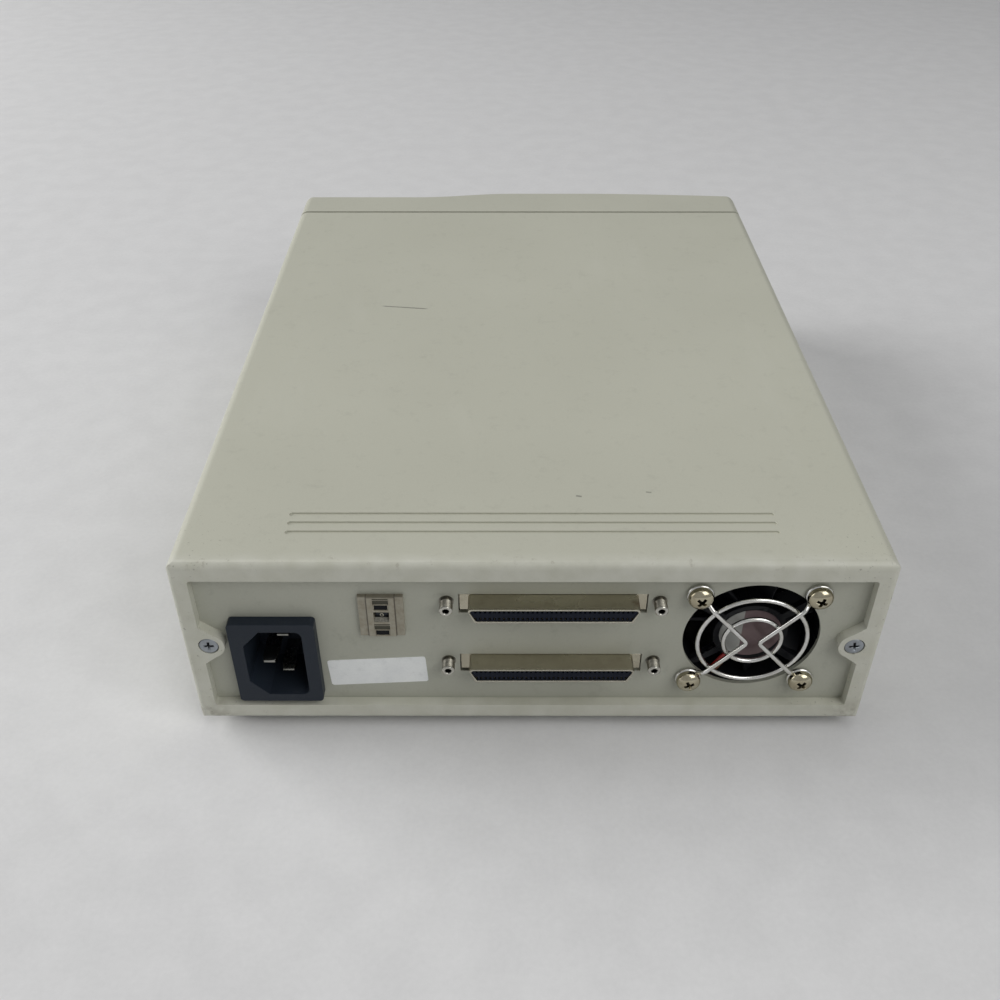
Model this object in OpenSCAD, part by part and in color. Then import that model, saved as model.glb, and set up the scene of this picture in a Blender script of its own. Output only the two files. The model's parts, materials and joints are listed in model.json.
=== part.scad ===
// External tape drive: a plastic sleeve and a bowed bezel around a steel tray that carries a
// half-height cassette drive, a mains power supply, a fan and a recessed rear panel.
// X runs to the right seen from the front, the front faces -Y, and Z is up. The origin lies
// on the table under the middle of the case.

/* [Case] */
// Width of the case over its sides
case_w = 193; // [189:1:210]
// Height of the case without its feet
case_h = 60; // [58:1:70]
// Length of the sleeve from its rear rim to the seam
sleeve_d = 234.5; // [232:0.5:260]
// Depth of the bezel from the seam to its crest
bezel_d = 23; // [22:0.5:28]
// Width of the seam between sleeve and bezel
seam_gap = 1.5; // [0.8:0.1:2]
// Wall thickness of the sleeve and the bezel
wall = 2.5; // [2:0.1:3]
// Radius of the long top edges
top_edge_r = 3.5; // [2:0.1:4]
// Radius of the long bottom edges
bottom_edge_r = 2.5; // [1.5:0.1:3.5]
// Radius of the rear edges of the sleeve
rear_edge_r = 2.3; // [1:0.1:3]
// Height of the feet
foot_h = 4; // [2:0.5:6]
// Diameter of the feet
foot_d = 12; // [8:0.5:14]
// Distance of a foot's middle from the case's side
foot_in_x = 13; // [9:0.5:20]
// Distance of a foot's middle from the rim and from the seam
foot_in_y = 10.2; // [9:0.1:30]

/* [Rear rim] */
// Width of the rim at the sides
rim_side_w = 5.2; // [4.6:0.1:6]
// Width of the rim at the top and the bottom
rim_top_w = 6.1; // [4:0.1:7]
// Depth of the rear panel behind the rim
rim_recess = 3.08; // [2:0.02:4]
// Distance of an ear's screw from the inner edge of the rim
ear_in = 1.9; // [1:0.1:3]
// Radius of an ear's tip
ear_tip_r = 4.4; // [3.8:0.1:5]
// Half the height of an ear where it leaves the rim
ear_root = 6.9; // [5.5:0.1:8]

/* [Top grooves] */
// Number of grooves
groove_n = 3; // [1:1:5]
// Distance of the first groove from the rim
groove_first = 13.2; // [8:0.1:20]
// Spacing of the grooves
groove_pitch = 3.95; // [3:0.05:6]
// Width of a groove
groove_w = 1.5; // [0.8:0.1:2]
// Length of a groove
groove_l = 133.5; // [80:0.5:150]
// Depth of a groove
groove_depth = 0.45; // [0.2:0.05:0.8]

/* [Bezel] */
// How far the crest stands in front of the flat zone
crest_h = 4.3; // [2:0.1:6]
// Right end of the crest
crest_right_x = 3; // [0:1:10]
// Left end of the crest
crest_left_x = -31; // [-40:1:-20]
// Distance of the flat zone from the case's side
flat_in_x = 50.5; // [44:0.5:56]
// Radius of the front edges and corners
front_edge_r = 3; // [2:0.1:3.5]
// Distance of the power button's middle from the case's side
button_in_x = 28.5; // [22:0.5:34]
// Width of the power button
button_w = 16; // [12:0.5:18]
// Height of the power button
button_h = 9; // [7:0.5:11]
// Height of the power button's middle above the case's bottom
button_z = 20; // [18:0.5:24]
// Travel of the power button
button_travel = 3; // [2:0.1:3.5]

/* [Mains inlet] */
// Distance of the inlet's middle from the case's side
inlet_in_x = 25; // [23:0.1:26]
// Height of the inlet's middle above the case's bottom
inlet_z = 23.4; // [22:0.1:28]
// Width of the inlet
inlet_w = 24; // [22:0.5:26]
// Height of the inlet
inlet_h = 30.2; // [28:0.1:32]
// How far the inlet stands off the panel
inlet_proud = 3.5; // [2:0.1:4]
// Width of the recess for the plug
plug_w = 16.5; // [15.5:0.1:17.5]
// Height of the recess for the plug
plug_h = 24.5; // [23:0.1:25.5]
// Depth of the recess for the plug
plug_depth = 16; // [14:0.5:18]
// Distance between the two live blades
blade_pitch = 14; // [13:0.1:15]

/* [Number switch] */
// Distance from the inlet's middle to the number switch's
id_from_inlet = 30.45; // [27:0.05:33]
// Height of the number switch's middle above the case's bottom
id_z = 39.65; // [36:0.05:44]
// Width of the number switch
id_w = 12.3; // [11:0.1:14]
// Height of the number switch
id_h = 14.5; // [14:0.1:17]
// How far the number switch stands off the panel
id_proud = 1.5; // [1:0.1:2.5]
// Travel of its two buttons
id_travel = 0.8; // [0.4:0.1:0.9]

/* [Rear connectors] */
// Gap between the fan and the connectors' brackets
port_gap = 2.5; // [1.5:0.1:4]
// Height of the upper connector above the case's bottom
port_high_z = 44.3; // [42:0.1:46]
// Height of the lower connector above the case's bottom
port_low_z = 21.5; // [19:0.1:25]
// Contacts in a row
contact_n = 34; // [25:1:34]
// Spacing of the contacts
contact_pitch = 1.27; // [1.2:0.01:1.27]
// Width of a connector's shell at its wide side
shell_top_w = 46; // [45:0.5:48]
// Width of a connector's shell at its narrow side
shell_bottom_w = 42.5; // [42:0.5:45]
// Height of a connector's shell
shell_h = 4.8; // [4.6:0.1:5.2]
// How far a shell stands off the panel
shell_proud = 6.15; // [5:0.05:7]
// Distance between the two jackscrews of a connector
jack_pitch = 57.9; // [57:0.1:60]
// Diameter of a jackscrew
jack_d = 4.2; // [3.8:0.1:5]
// How far a jackscrew stands off the panel
jack_l = 5.5; // [4:0.1:6]
// Diameter of the threaded hole in a jackscrew
jack_hole_d = 2.2; // [2:0.1:2.8]

/* [Fan] */
// Distance of the fan's middle from the case's side
fan_in_x = 35.3; // [33:0.1:36.5]
// Height of the fan's middle above the case's bottom
fan_z = 31; // [28:0.1:36]
// Side of the square fan
fan_size = 40; // [40:0.5:42]
// Depth of the fan
fan_depth = 10; // [10:0.5:12]
// Diameter of the air opening
fan_bore_d = 38; // [36:0.5:38.5]
// Side of the square of the fan's screws
fan_pitch = 32; // [31.5:0.1:33]
// Diameter of the guard's wire
guard_wire_d = 1.3; // [1:0.1:1.6]
// Diameter of the guard's outer ring
guard_big_d = 29.5; // [28:0.5:31]
// Diameter of the guard's inner ring
guard_small_d = 15.8; // [14:0.1:18]
// Number of blades of the fan
blade_n = 7; // [5:1:9]

/* [Tape drive] */
// Distance of the drive from the case's side
drive_in_x = 17.7; // [15:0.1:19]
// Width of the drive
drive_w = 101.6; // [101:0.1:102]
// Height of the drive
drive_h = 41.3; // [41:0.1:42]
// Length of the drive
drive_l = 146; // [145:0.5:152]
// How far the face of the drive lies behind the crest
drive_set_back = 4.5; // [3.5:0.1:6]
// Width of the cassette slot
slot_w = 75.5; // [75:0.5:77]
// Height of the cassette slot
slot_h = 12.5; // [12:0.1:13]
// Height of the slot's middle above the drive's bottom
slot_z = 30.8; // [30.5:0.1:31]
// Opening angle of the cassette door
door_swing = 80; // [60:1:85]
// Diameter of the head drum
drum_d = 30; // [28:0.5:30]
// Tilt of the head drum
drum_tilt = 5; // [0:0.5:6]
// Way of the cassette into the drive
load_in = 14; // [10:0.5:14]
// Way of the cassette down to the reels
load_down = 8.5; // [7:0.5:8.5]

/* [Hidden] */
$fn = 64;

// Colours
plastic_beige = "#c9c6b8";
panel_beige = "#a9a797";
navy_black = "#1d222a";
bright_steel = "#b9b9b4";
nickel = "#b5b09a";
sheet_steel = "#9fa3a6";
board_green = "#2f6b45";
matt_black = "#1a1a1c";
switch_beige = "#b5ab98";

// Clearances and shared small sizes
over = 1;            // overrun of every cut
snug = 0.1;          // clearance of a piece in its fixed seat
run_gap = 0.3;       // clearance between pieces that move past each other
pin_gap = 0.05;      // radial clearance of a shaft in its bearing
inner_edge_r = 0.8;  // least radius of an inside edge

// Main planes of the case
shell_out = shell_proud - rim_recess;
total_d = bezel_d + seam_gap + sleeve_d + shell_out;
rim_y = total_d / 2 - shell_out;
front_y = -total_d / 2;
seam_y = rim_y - sleeve_d;
bezel_back_y = seam_y - seam_gap;
panel_y = rim_y - rim_recess;
case_z = foot_h;
case_top_z = case_z + case_h;
mid_z = case_z + case_h / 2;

// Places across the case, from its sides
right_x = case_w / 2;
left_x = -right_x;
flat_x = right_x - flat_in_x;
button_x = right_x - button_in_x;
inlet_x = right_x - inlet_in_x;
id_x = inlet_x - id_from_inlet;
fan_x = left_x + fan_in_x;
drive_x = left_x + drive_in_x + drive_w / 2;

// Sheet metal tray and rear panel
sheet_t = 1;
panel_t = 1.2;
panel_in_y = panel_y - panel_t;
panel_edge_gap = 1;
tray_gap = 0.5;
tray_w = case_w - 2 * wall - 2 * tray_gap;
tray_z = case_z + wall + snug;
floor_z = tray_z + sheet_t;
tray_side_h = 14;
ear_screw_d = 3;
ear_meet_share = 0.97;
ear_tab_w = 11;
ear_tab_h = 32;
vent_n = 9;
vent_w = 3;
vent_l = 40;
vent_pitch = 6.5;
vent_from_seam = 45;

// Bezel lip and screw posts
lip_l = 6;
lip_t = 1.5;
lip_gap = 0.3;
lip_in = wall + lip_gap;
ring_t = 1.5;
post_d = 7;
post_in_x = 9.5;
post_z = 11;
tray_front_y = seam_y + lip_l + seam_gap;
front_tab_w = 12;
front_tab_h = 18;
bezel_screw_d = 3;
bezel_screw_l = 10;
left_end_share = 0.21;
fall_power = 1.6;
bezel_step = 4;
round_step = 22.5;

// Screw heads
pan_head_d = 7;
pan_head_h = 2.7;
small_head_d = 5.5;
small_head_h = 1.9;
cross_l_share = 0.56;
cross_w_share = 0.15;
cross_depth_share = 0.55;

// Mains inlet
inlet_edge_r = 1.2;
plug_corner_r = 2;
plug_chamfer = [4.9, 5.4];
inlet_body_w = 21.5;
inlet_body_h = 27.5;
inlet_back = 18;
blade_w = 4;
blade_t = 2;
blade_stagger = 2;
earth_in = 1;
live_in = 4.5;
tab_l = 8;
tab_t = 0.8;

// Number switch
id_column_w = 7.6;
id_column_out = 0.35;
id_well_w = 4.3;
id_well_depth = 1;
id_body_w = 11;
id_body_h = 13.7;
id_back = 13;
id_wheel_r = 3.8;
id_wheel_w = 3.8;
id_wheel_in = 2.4;
id_axle_d = 1.6;
id_digit_n = 10;
id_notch = 0.25;
id_window_z = 0.48;
id_window_h = 2.6;
id_button_w = 3.6;
id_button_h = 1.7;
id_button_t = 1.5;
id_button_in = 0.2;
id_up_z = 3.37;
id_down_z = -6;
id_slope_h = 1.9;

// Rear connectors
shell_corner_r = 0.6;
shell_t = 0.45;
collar_w = 50.8;
collar_h = 5.6;
collar_down = 0.4;
cutout_w = 51.4;
cutout_up = 2.5;
cutout_down = 4.3;
bracket_end = 4.05;
bracket_w = jack_pitch + 2 * bracket_end;
port_x = fan_x + fan_size / 2 + port_gap + bracket_w / 2;
bracket_h = 7.5;
bracket_t = 1;
insert_in = 0.4;
contact_row_gap = 2.5;
contact_slot_w = 0.6;
contact_slot_h = 0.9;
contact_slot_depth = 2;
port_body_w = 54;
port_body_h = 7;
port_body_d = 7;
stud_d = 2.6;
jack_flange_d = 5.4;
jack_flange_h = 0.7;
board_t = 1.6;
port_board_w = 70.2;
port_board_h = 44;
port_board_z = 9;
port_board_shift = 0.6;
header_w = 45;
header_h = 6;
header_d = 7;
ribbon_w = 43;
ribbon_t = 0.9;
ribbon_from_drive = 10.5;
ribbon_x = drive_x + ribbon_from_drive;
ribbon_sag = 5;
ribbon_points = 30;

// Fan
hub_d = 20.7;
hub_t = 2.4;
fan_label_d = 17.3;
fan_label_t = 0.2;
strut_w = 2.2;
strut_t = 2;
strut_angles = [-37, 35, 143, 217];
fan_hole_d = 3.4;
fan_thread_d = 3;
fan_screw_l = 9;
bearing_d = 5.4;
fan_shaft_d = 2;
rotor_d = 20.4;
rotor_wall = 1.4;
rotor_h = 6.6;
blade_tip_gap = 0.8;
blade_pitch_angle = 42;
fan_blade_t = 0.9;
fan_blade_chord = 8;
guard_rise = 2.7;
guard_apex = 1.6;
guard_weld_share = 0.8;
guard_weld_d = 1.42;
eye_r = 3.15;

// Power supply
psu_in_x = 34.5;
psu_x = right_x - psu_in_x;
psu_w = 56;
psu_l = 158;
psu_y = 1;
psu_lift = 6;
standoff_d = 5;
psu_screw_d = 2.5;
psu_screw_in = 4;
transformer_size = [30, 28, 26];
transformer_core = [34, 20, 18];
big_cap_d = 18;
big_cap_h = 30;
small_cap_d = 10;
small_cap_h = 20;
big_cap_shares = [[-0.2, 0.24], [0.2, 0.24]];
small_cap_shares = [[-0.24, -0.26], [0, -0.26], [0.24, -0.26]];
heatsink_l = 44;
heatsink_h = 24;
heatsink_t = 2;
fin_n = 5;
fin_l = 5;
heatsink_share = 0.42;
terminal_h = 9;
mains_terminal = [24, 8];
mains_terminal_at = [8, 69];
fan_terminal = [6, 7];
fan_terminal_at = [-25, 64];
dc_terminal = [6, 14];
dc_terminal_at = [-25, 50];
switch_terminal = [12, 6];
switch_terminal_at = [13, -71];

// Power switch and lamp
switch_w = 14;
switch_h = 12;
switch_l = 15;
switch_pin_l = 3;
plunger_d = 4;
button_out = 1.2;
button_l = 8.5;
button_r = 1.5;
lamp_w = 8;
lamp_h = 2.6;
lamp_l = 6;
lamp_out = 0.3;
lamp_up = 13;

// Tape drive: frame, lid and front
drive_face_y = front_y + drive_set_back;
drive_z = case_z + (case_h - drive_h) / 2;
frame_t = 2;
lid_t = 0.8;
front_t = 4;
deck_z = 13;
deck_t = 1.5;
deck_top = deck_z + deck_t;
window_gap = 0.6;
slot_lip = 1.4;
door_pocket_w = 79.5;
door_w = 78.5;
door_t = 1.2;
door_over = 0.9;
hinge_up = 1.4;
hinge_d = 2.6;
hinge_pin_d = 1.2;
finger_r = 16;
finger_depth = 4;
eject_w = 14;
eject_h = 5;
eject_l = 6;
eject_out = 0.9;
eject_travel = 1;
eject_x = 34;
low_row_z = 10;
drive_lamp_w = 3.2;
drive_lamp_h = 2;
drive_lamp_l = 5;
drive_lamp_xs = [-38, -30];
main_board_z = 3.5;
main_board_gap = 0.6;
rear_port_w = 45;
rear_port_h = 8;
rear_port_z = 8;
rear_port_d = 5;
power_port_w = 14;
power_port_x = 41;
id_port_w = 10;
id_port_x = -32;
rear_ports = [[ribbon_x - drive_x, rear_port_w], [power_port_x, power_port_w],
    [id_port_x, id_port_w]];
rail_gap = 0.1;
rail_flange = 6;
rail_h = 26;
rail_from = 29.5;
rail_l = 102.5;
drive_screw_up = 11;
drive_screw_ys = [48, 108];
drive_screw_d = 3;
drive_screw_l = 3;

// Tape drive: mechanism, placed from the middle of the drive's face
reel_gap = 30;
reel_y = 48.5;
reel_flange_d = 22;
reel_flange_t = 1.5;
reel_hub_d = 6.5;
reel_hub_h = 7.5;
reel_rib_t = 1;
reel_rib_out = 0.8;
reel_lift = 0.5;
axle_d = 2;
drum_y = 93.5;
drum_low_h = 8;
drum_high_h = 9;
drum_shaft_d = 5;
drum_cap_d = 14;
drum_cap_h = 1.5;
head_n = 4;
head_w = 3;
head_h = 1.2;
capstan_in_x = 26.8;
capstan_at = [drive_w / 2 - capstan_in_x, 76.5];
capstan_d = 2.5;
capstan_top = 27;
flywheel_d = 20;
flywheel_h = 3;
flywheel_z = 7;
bearing_wall = 1.6;
bearing_h = 2;
pinch_in_x = 12.8;
pinch_at = [drive_w / 2 - pinch_in_x, 88.5];
pinch_arm_l = 13.5;
pinch_angle = 249.7;
pinch_arm_w = 4.2;
pinch_boss_d = 5;
pinch_arm_t = 2;
pinch_arm_z = 17;
pinch_hub_d = 6;
pinch_roller_d = 7;
pinch_roller_h = 6;
gear_module = 0.7;
gear_teeth = 36;
pinion_teeth = 14;
gear_in_x = 21.8;
gear_at = [drive_w / 2 - gear_in_x, 112];
gear_t = 3;
gear_lift = 0.6;
gear_angle = 20;
backlash = 0.12;
addendum_share = 0.8;
dedendum_share = 1.25;
gear_web = 5;
motor_d = 14;
motor_h = 16;
motor_plate = [24, 8];
motor_plate_t = 1;
motor_post_d = 3;
motor_lift = 5.5;
motor_shaft_d = 2;
guide_start = [14, 69.5];
guide_way = [7, 21];
guide_base_d = 7;
guide_base_h = 3;
guide_post_d = 2.4;
guide_top = 27;
guide_tongue_d = 2.8;
guide_tongue_h = 3;
guide_cap_d = 4;
guide_cap_h = 1;
holder_from = 19;
holder_l = 38;
holder_t = 1;
holder_ledge = 6;
cassette_w = 74;
cassette_h = 11;
slide_t = 1;
slide_l = 44;
slide_bar_w = 8;
slide_pin_d = 2;
slide_pin_share = 0.5;
pin_slot_gap = 0.3;

// Leads inside the case, as routes of their middle lines
lead_sides = 8;
lead_steps = 3;
mains_lead_d = 2.2;
mains_routes = [
    [[7.5, 97.6, 20.4], [7.5, 92, 20.4], [7, 84, 20.6], [6, 78, 20], [6, 74.2, 19.8]],
    [[11.5, 97.6, 27.4], [11.5, 92, 27.4], [11.8, 84, 25], [12, 78, 20.8], [12, 74.2, 19.8]],
    [[7.5, 97.6, 34.4], [7.5, 92, 34.4], [14, 84, 30], [18, 78, 21.5], [18, 74.2, 19.8]]];
fan_lead_d = 1.3;
fan_routes = [
    [[fan_x + 19.2, 113.6, 20.5], [fan_x + 19.2, 106, 19], [fan_x + 23.2, 99, 13],
        [drive_x + 8, 98, 11], [drive_x + 36, 98, 11], [drive_x + 50, 90, 14], [psu_x - 36, 76, 18],
        [psu_x - 31, 66, 19.8], [psu_x - 28, 66, 19.8]],
    [[fan_x + 19.2, 113.6, 18], [fan_x + 18.7, 106, 16.5], [fan_x + 22.2, 96.5, 10.6],
        [drive_x + 8, 95.5, 10.2], [drive_x + 34, 95.5, 10.2], [drive_x + 47, 88, 13],
        [psu_x - 38, 73, 17.6], [psu_x - 31, 64, 19.8], [psu_x - 28, 64, 19.8]]];
dc_lead_d = 1.8;
dc_lead_n = 4;
dc_route = [[psu_x - drive_x - 28, 56, 19.8], [psu_x - drive_x - 34, 56, 19.8], [46, 53, 20.4],
    [38, 46, 21.2], [36, 36, 21.3], [36, 24.6, 21.3]];
dc_step = [[0, -3.3, 0], [0, -3.3, 0], [1.6, -3.2, 0], [3, -2, 0], [3.3, -1, 0], [3.3, 0, 0]];
id_lead_d = 1.2;
id_routes = [
    [[id_x - drive_x - 2.05, 110.6, 45.5], [id_x - drive_x - 2.05, 102, 46], [58, 88, 48],
        [36, 72, 48], [6, 58, 47], [-20, 42, 42], [-32, 33, 28], [-34, 28, 21.8], [-34, 24.6, 21.3]],
    [[id_x - drive_x + 1.35, 110.6, 45.5], [id_x - drive_x + 1.35, 100, 46], [60, 84, 48],
        [38, 68, 48], [8, 54, 47], [-17, 39, 41], [-28, 32, 27], [-30, 28, 21.8], [-30, 24.6, 21.3]]];
switch_lead_d = 1.6;
switch_routes = [
    [[2.5, -95.9, 24], [2.5, -90, 24], [6, -83, 22], [10.5, -78, 20], [10.5, -73.2, 19.8]],
    [[9, -95.9, 24], [9, -90, 24], [12, -83, 22], [15.5, -78, 20], [15.5, -73.2, 19.8]]];

// Box between two corners
module bar(x0, x1, y0, y1, z0, z1) translate([x0, y0, z0]) cube([x1 - x0, y1 - y0, z1 - z0]);

// An outline drawn in X and Z, made solid from y0 to y1
module along_y(y0, y1) translate([0, y1, 0]) rotate([90, 0, 0]) linear_extrude(y1 - y0) children();

// An outline drawn in Y and Z, made solid from x0 to x1
module along_x(x0, x1) translate([x0, 0, 0]) rotate([90, 0, 90]) linear_extrude(x1 - x0) children();

// Lifts its children by z
module up(z) translate([0, 0, z]) children();

// Hole of diameter d through a piece that rises from zero to h
module bore(d, h) up(-over) cylinder(d = d, h = h + 2 * over);

// Puts its children over a place of the plan, at height z
module over_place(p, z) translate([p[0], p[1], z]) children();

// A round rod along Y from y0 to y1
module rod_y(d, y0, y1) translate([0, y0, 0]) rotate([-90, 0, 0]) cylinder(d = d, h = y1 - y0);

// A round rod along X from x0 to x1
module rod_x(d, x0, x1) translate([x0, 0, 0]) rotate([0, 90, 0]) cylinder(d = d, h = x1 - x0);

// Rectangle with four round corners, about its middle
module round_rect(w, h, r) {
    square([w - 2 * r, h], center = true);
    square([w, h - 2 * r], center = true);
    for (sx = [-1, 1], sy = [-1, 1])
        translate([sx * (w / 2 - r), sy * (h / 2 - r)]) circle(r);
}

// Slot with round ends, along X
module slot_shape(l, w) {
    square([l - w, w], center = true);
    for (side = [-1, 1]) translate([side * (l - w) / 2, 0]) circle(d = w);
}

// Outline of the case seen from the back, drawn in by an inset
module case_outline(inset) {
    half = case_w / 2 - inset;
    low = case_z + inset;
    high = case_top_z - inset;
    rt = max(top_edge_r - inset, inner_edge_r);
    rb = max(bottom_edge_r - inset, inner_edge_r);
    translate([-half, low + rb]) square([2 * half, high - low - rb - rt]);
    translate([rt - half, high - rt]) square([2 * (half - rt), rt]);
    translate([rb - half, low]) square([2 * (half - rb), rb]);
    for (side = [-1, 1]) {
        translate([side * (half - rt), high - rt]) circle(rt);
        translate([side * (half - rb), low + rb]) circle(rb);
    }
}

// Cross-slotted pan head on a shank: the head's underside lies at z = 0 and the shank below it
module cross_screw(head_d, head_h, shank_d, shank_l) {
    difference() {
        intersection() {
            cylinder(d = head_d, h = head_h);
            dome_r = (head_d * head_d / 4 + head_h * head_h) / (2 * head_h);
            up(head_h - dome_r) sphere(dome_r);
        }
        for (turn = [0, 90])
            rotate([0, 0, turn])
                up(head_h)
                    cube([head_d * cross_l_share, head_d * cross_w_share,
                        2 * head_h * cross_depth_share], center = true);
    }
    up(-shank_l) cylinder(d = shank_d, h = shank_l);
}

// Points of a route with smooth bends between them
function bend(a, b, c, d, t) = 0.5 * (2 * b + (c - a) * t + (2 * a - 5 * b + 4 * c - d) * t * t
    + (3 * b - a - 3 * c + d) * t * t * t);
function smooth_route(p) = [
    for (i = [0 : len(p) - 2], k = [0 : lead_steps - 1])
        bend(p[max(i - 1, 0)], p[i], p[i + 1], p[min(i + 2, len(p) - 1)], k / lead_steps),
    p[len(p) - 1]];
function unit(v) = v / norm(v);
// Direction of a route at a point; the ends leave square to the piece that they meet
function heading(p, i) =
    i == 0 ? unit(p[1] - p[0]) : i == len(p) - 1 ? unit(p[i] - p[i - 1]) : unit(p[i + 1] - p[i - 1]);

// Round lead along a route
module lead(route, d) {
    p = smooth_route(route);
    n = len(p);
    points = [for (i = [0 : n - 1])
        let (t = heading(p, i), side = unit(cross(t, [0, 0, 1])), lift = cross(side, t))
            for (k = [0 : lead_sides - 1])
                let (a = 360 * k / lead_sides) p[i] + d / 2 * (cos(a) * side + sin(a) * lift)];
    walls = [for (i = [0 : n - 2], k = [0 : lead_sides - 1])
        let (m = (k + 1) % lead_sides, a = i * lead_sides, b = a + lead_sides)
            each [[a + k, a + m, b + m], [a + k, b + m, b + k]]];
    first = [for (k = [lead_sides - 1 : -1 : 0]) k];
    last = [for (k = [0 : lead_sides - 1]) (n - 1) * lead_sides + k];
    polyhedron(points, concat(walls, [first, last]));
}

// Sleeve: rim with ears

ear_x = case_w / 2 - rim_side_w - ear_in;
open_half = case_w / 2 - rim_side_w;

// One ear of the rim: a rounded tip whose flanks meet the rim's inner edge
module ear_outline() {
    run = norm([ear_in, ear_root]);
    flank = atan2(ear_root, ear_in) + acos(ear_tip_r / run);
    tip = ear_tip_r * ear_meet_share * [cos(flank), sin(flank)];
    translate([ear_x, mid_z]) {
        circle(ear_tip_r);
        polygon([[0, 0], tip, [ear_in, ear_root], [ear_in + over, ear_root],
            [ear_in + over, -ear_root], [ear_in, -ear_root], [tip[0], -tip[1]]]);
    }
}

module rear_opening() difference() {
    translate([0, mid_z])
        round_rect(2 * open_half, case_h - 2 * rim_top_w, inner_edge_r);
    for (side = [0, 1]) mirror([side, 0]) ear_outline();
}

// Rounded block of the sleeve before it is hollowed
module sleeve_block() intersection() {
    reach = sleeve_d + 4 * rear_edge_r;
    along_y(seam_y, rim_y) case_outline(0);
    along_x(-case_w, case_w)
        translate([rim_y - reach / 2, mid_z]) round_rect(reach, case_h, rear_edge_r);
    linear_extrude(case_top_z + over)
        translate([0, rim_y - reach / 2]) round_rect(case_w, reach, rear_edge_r);
}

// Air slots, which run through the sleeve's bottom and through the tray
module vents(z0, z1) {
    for (i = [0 : vent_n - 1])
        translate([(i - (vent_n - 1) / 2) * vent_pitch, seam_y + vent_from_seam, z0])
            linear_extrude(z1 - z0) rotate(90) slot_shape(vent_l, vent_w);
}

module case_sleeve() color(plastic_beige) difference() {
    sleeve_block();
    along_y(seam_y - over, panel_y) case_outline(wall);
    along_y(panel_y - over, rim_y + over) rear_opening();
    for (i = [0 : groove_n - 1])
        translate([0, rim_y - groove_first - i * groove_pitch, case_top_z - groove_depth])
            linear_extrude(groove_depth + over) slot_shape(groove_l, groove_w);
    for (side = [-1, 1]) translate([side * ear_x, 0, mid_z]) {
        rod_y(ear_screw_d + 2 * snug, panel_y - over, rim_y + over);
        rod_y(small_head_d + 2 * snug, rim_y - small_head_h, rim_y + over);
    }
    vents(case_z - over, case_z + wall + over);
}

// Bezel: its front follows a curve across the width, with a crest left of the middle

function ease(t) = t <= 0 ? 0 : t >= 1 ? 1 : (1 - cos(180 * t)) / 2;
function crest_share(x) =
    x > crest_right_x ? ease((flat_x - x) / (flat_x - crest_right_x))
    : x < crest_left_x
        ? 1 - (1 - left_end_share) * pow((crest_left_x - x) / (case_w / 2 + crest_left_x), fall_power)
        : 1;
// How far a round corner of radius r draws in at a distance x from the middle
function corner_drop(x, half, r) =
    abs(x) <= half - r ? 0 : r - sqrt(max(r * r - pow(abs(x) - half + r, 2), 0));

// Solid with the bezel's front, drawn in by an inset, up to the plane back_y
module bezel_solid(inset, back_y) {
    half = case_w / 2 - inset;
    rf = max(front_edge_r - inset, inner_edge_r);
    rt = max(top_edge_r - inset, inner_edge_r);
    rb = max(bottom_edge_r - inset, inner_edge_r);
    inner_n = ceil((2 * half - 2 * rt) / bezel_step);
    stations = concat(
        [for (a = [90 : -round_step : round_step]) -(half - rt) - rt * sin(a)],
        [for (i = [0 : inner_n]) (2 * i / inner_n - 1) * (half - rt)],
        [for (a = [round_step : round_step : 90]) half - rt + rt * sin(a)]);
    rows = [for (x = stations)
        let (y = front_y + inset + crest_h * (1 - crest_share(x)) + corner_drop(x, half, rt),
            high = case_top_z - inset - corner_drop(x, half, rt),
            low = case_z + inset + corner_drop(x, half, rb))
            concat(
                [[x, back_y, low]],
                [for (a = [0 : round_step : 90]) [x, y + rf - rf * sin(a), low + rf - rf * cos(a)]],
                [for (a = [90 : -round_step : 0]) [x, y + rf - rf * sin(a), high - rf + rf * cos(a)]],
                [[x, back_y, high]])];
    n = len(rows);
    m = len(rows[0]);
    walls = [for (i = [0 : n - 2], k = [0 : m - 1])
        let (next = (k + 1) % m, a = i * m, b = a + m)
            each [[a + k, a + next, b + next], [a + k, b + next, b + k]]];
    first = [for (k = [m - 1 : -1 : 0]) k];
    last = [for (k = [0 : m - 1]) (n - 1) * m + k];
    polyhedron([for (row = rows) each row], concat(walls, [first, last]));
}

flat_y = front_y + crest_h;
button_mid_z = case_z + button_z;
lamp_mid_z = button_mid_z + lamp_up;
post_x = case_w / 2 - post_in_x;

module front_bezel() color(plastic_beige) {
    difference() {
        union() {
            difference() {
                bezel_solid(0, bezel_back_y);
                bezel_solid(wall, bezel_back_y + over);
            }
            along_y(bezel_back_y - ring_t, bezel_back_y) difference() {
                case_outline(wall / 2);
                case_outline(lip_in + lip_t);
            }
            along_y(bezel_back_y - ring_t, seam_y + lip_l) difference() {
                case_outline(lip_in);
                case_outline(lip_in + lip_t);
            }
            for (side = [-1, 1])
                translate([side * post_x, 0, case_z + post_z])
                    rod_y(post_d, flat_y + wall / 4, tray_front_y);
        }
        translate([drive_x, 0, drive_z + drive_h / 2])
            bar(-drive_w / 2 - window_gap, drive_w / 2 + window_gap, front_y - over,
                bezel_back_y - ring_t - over, -drive_h / 2 - window_gap, drive_h / 2 + window_gap);
        along_y(front_y - over, bezel_back_y - ring_t - over) {
            translate([button_x, button_mid_z])
                round_rect(button_w + 2 * run_gap, button_h + 2 * run_gap, button_r);
            translate([button_x, lamp_mid_z])
                square([lamp_w + 2 * snug, lamp_h + 2 * snug], center = true);
        }
        for (side = [-1, 1])
            translate([side * post_x, 0, case_z + post_z])
                rod_y(bezel_screw_d, tray_front_y - bezel_screw_l, tray_front_y + over);
    }
}

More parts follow.
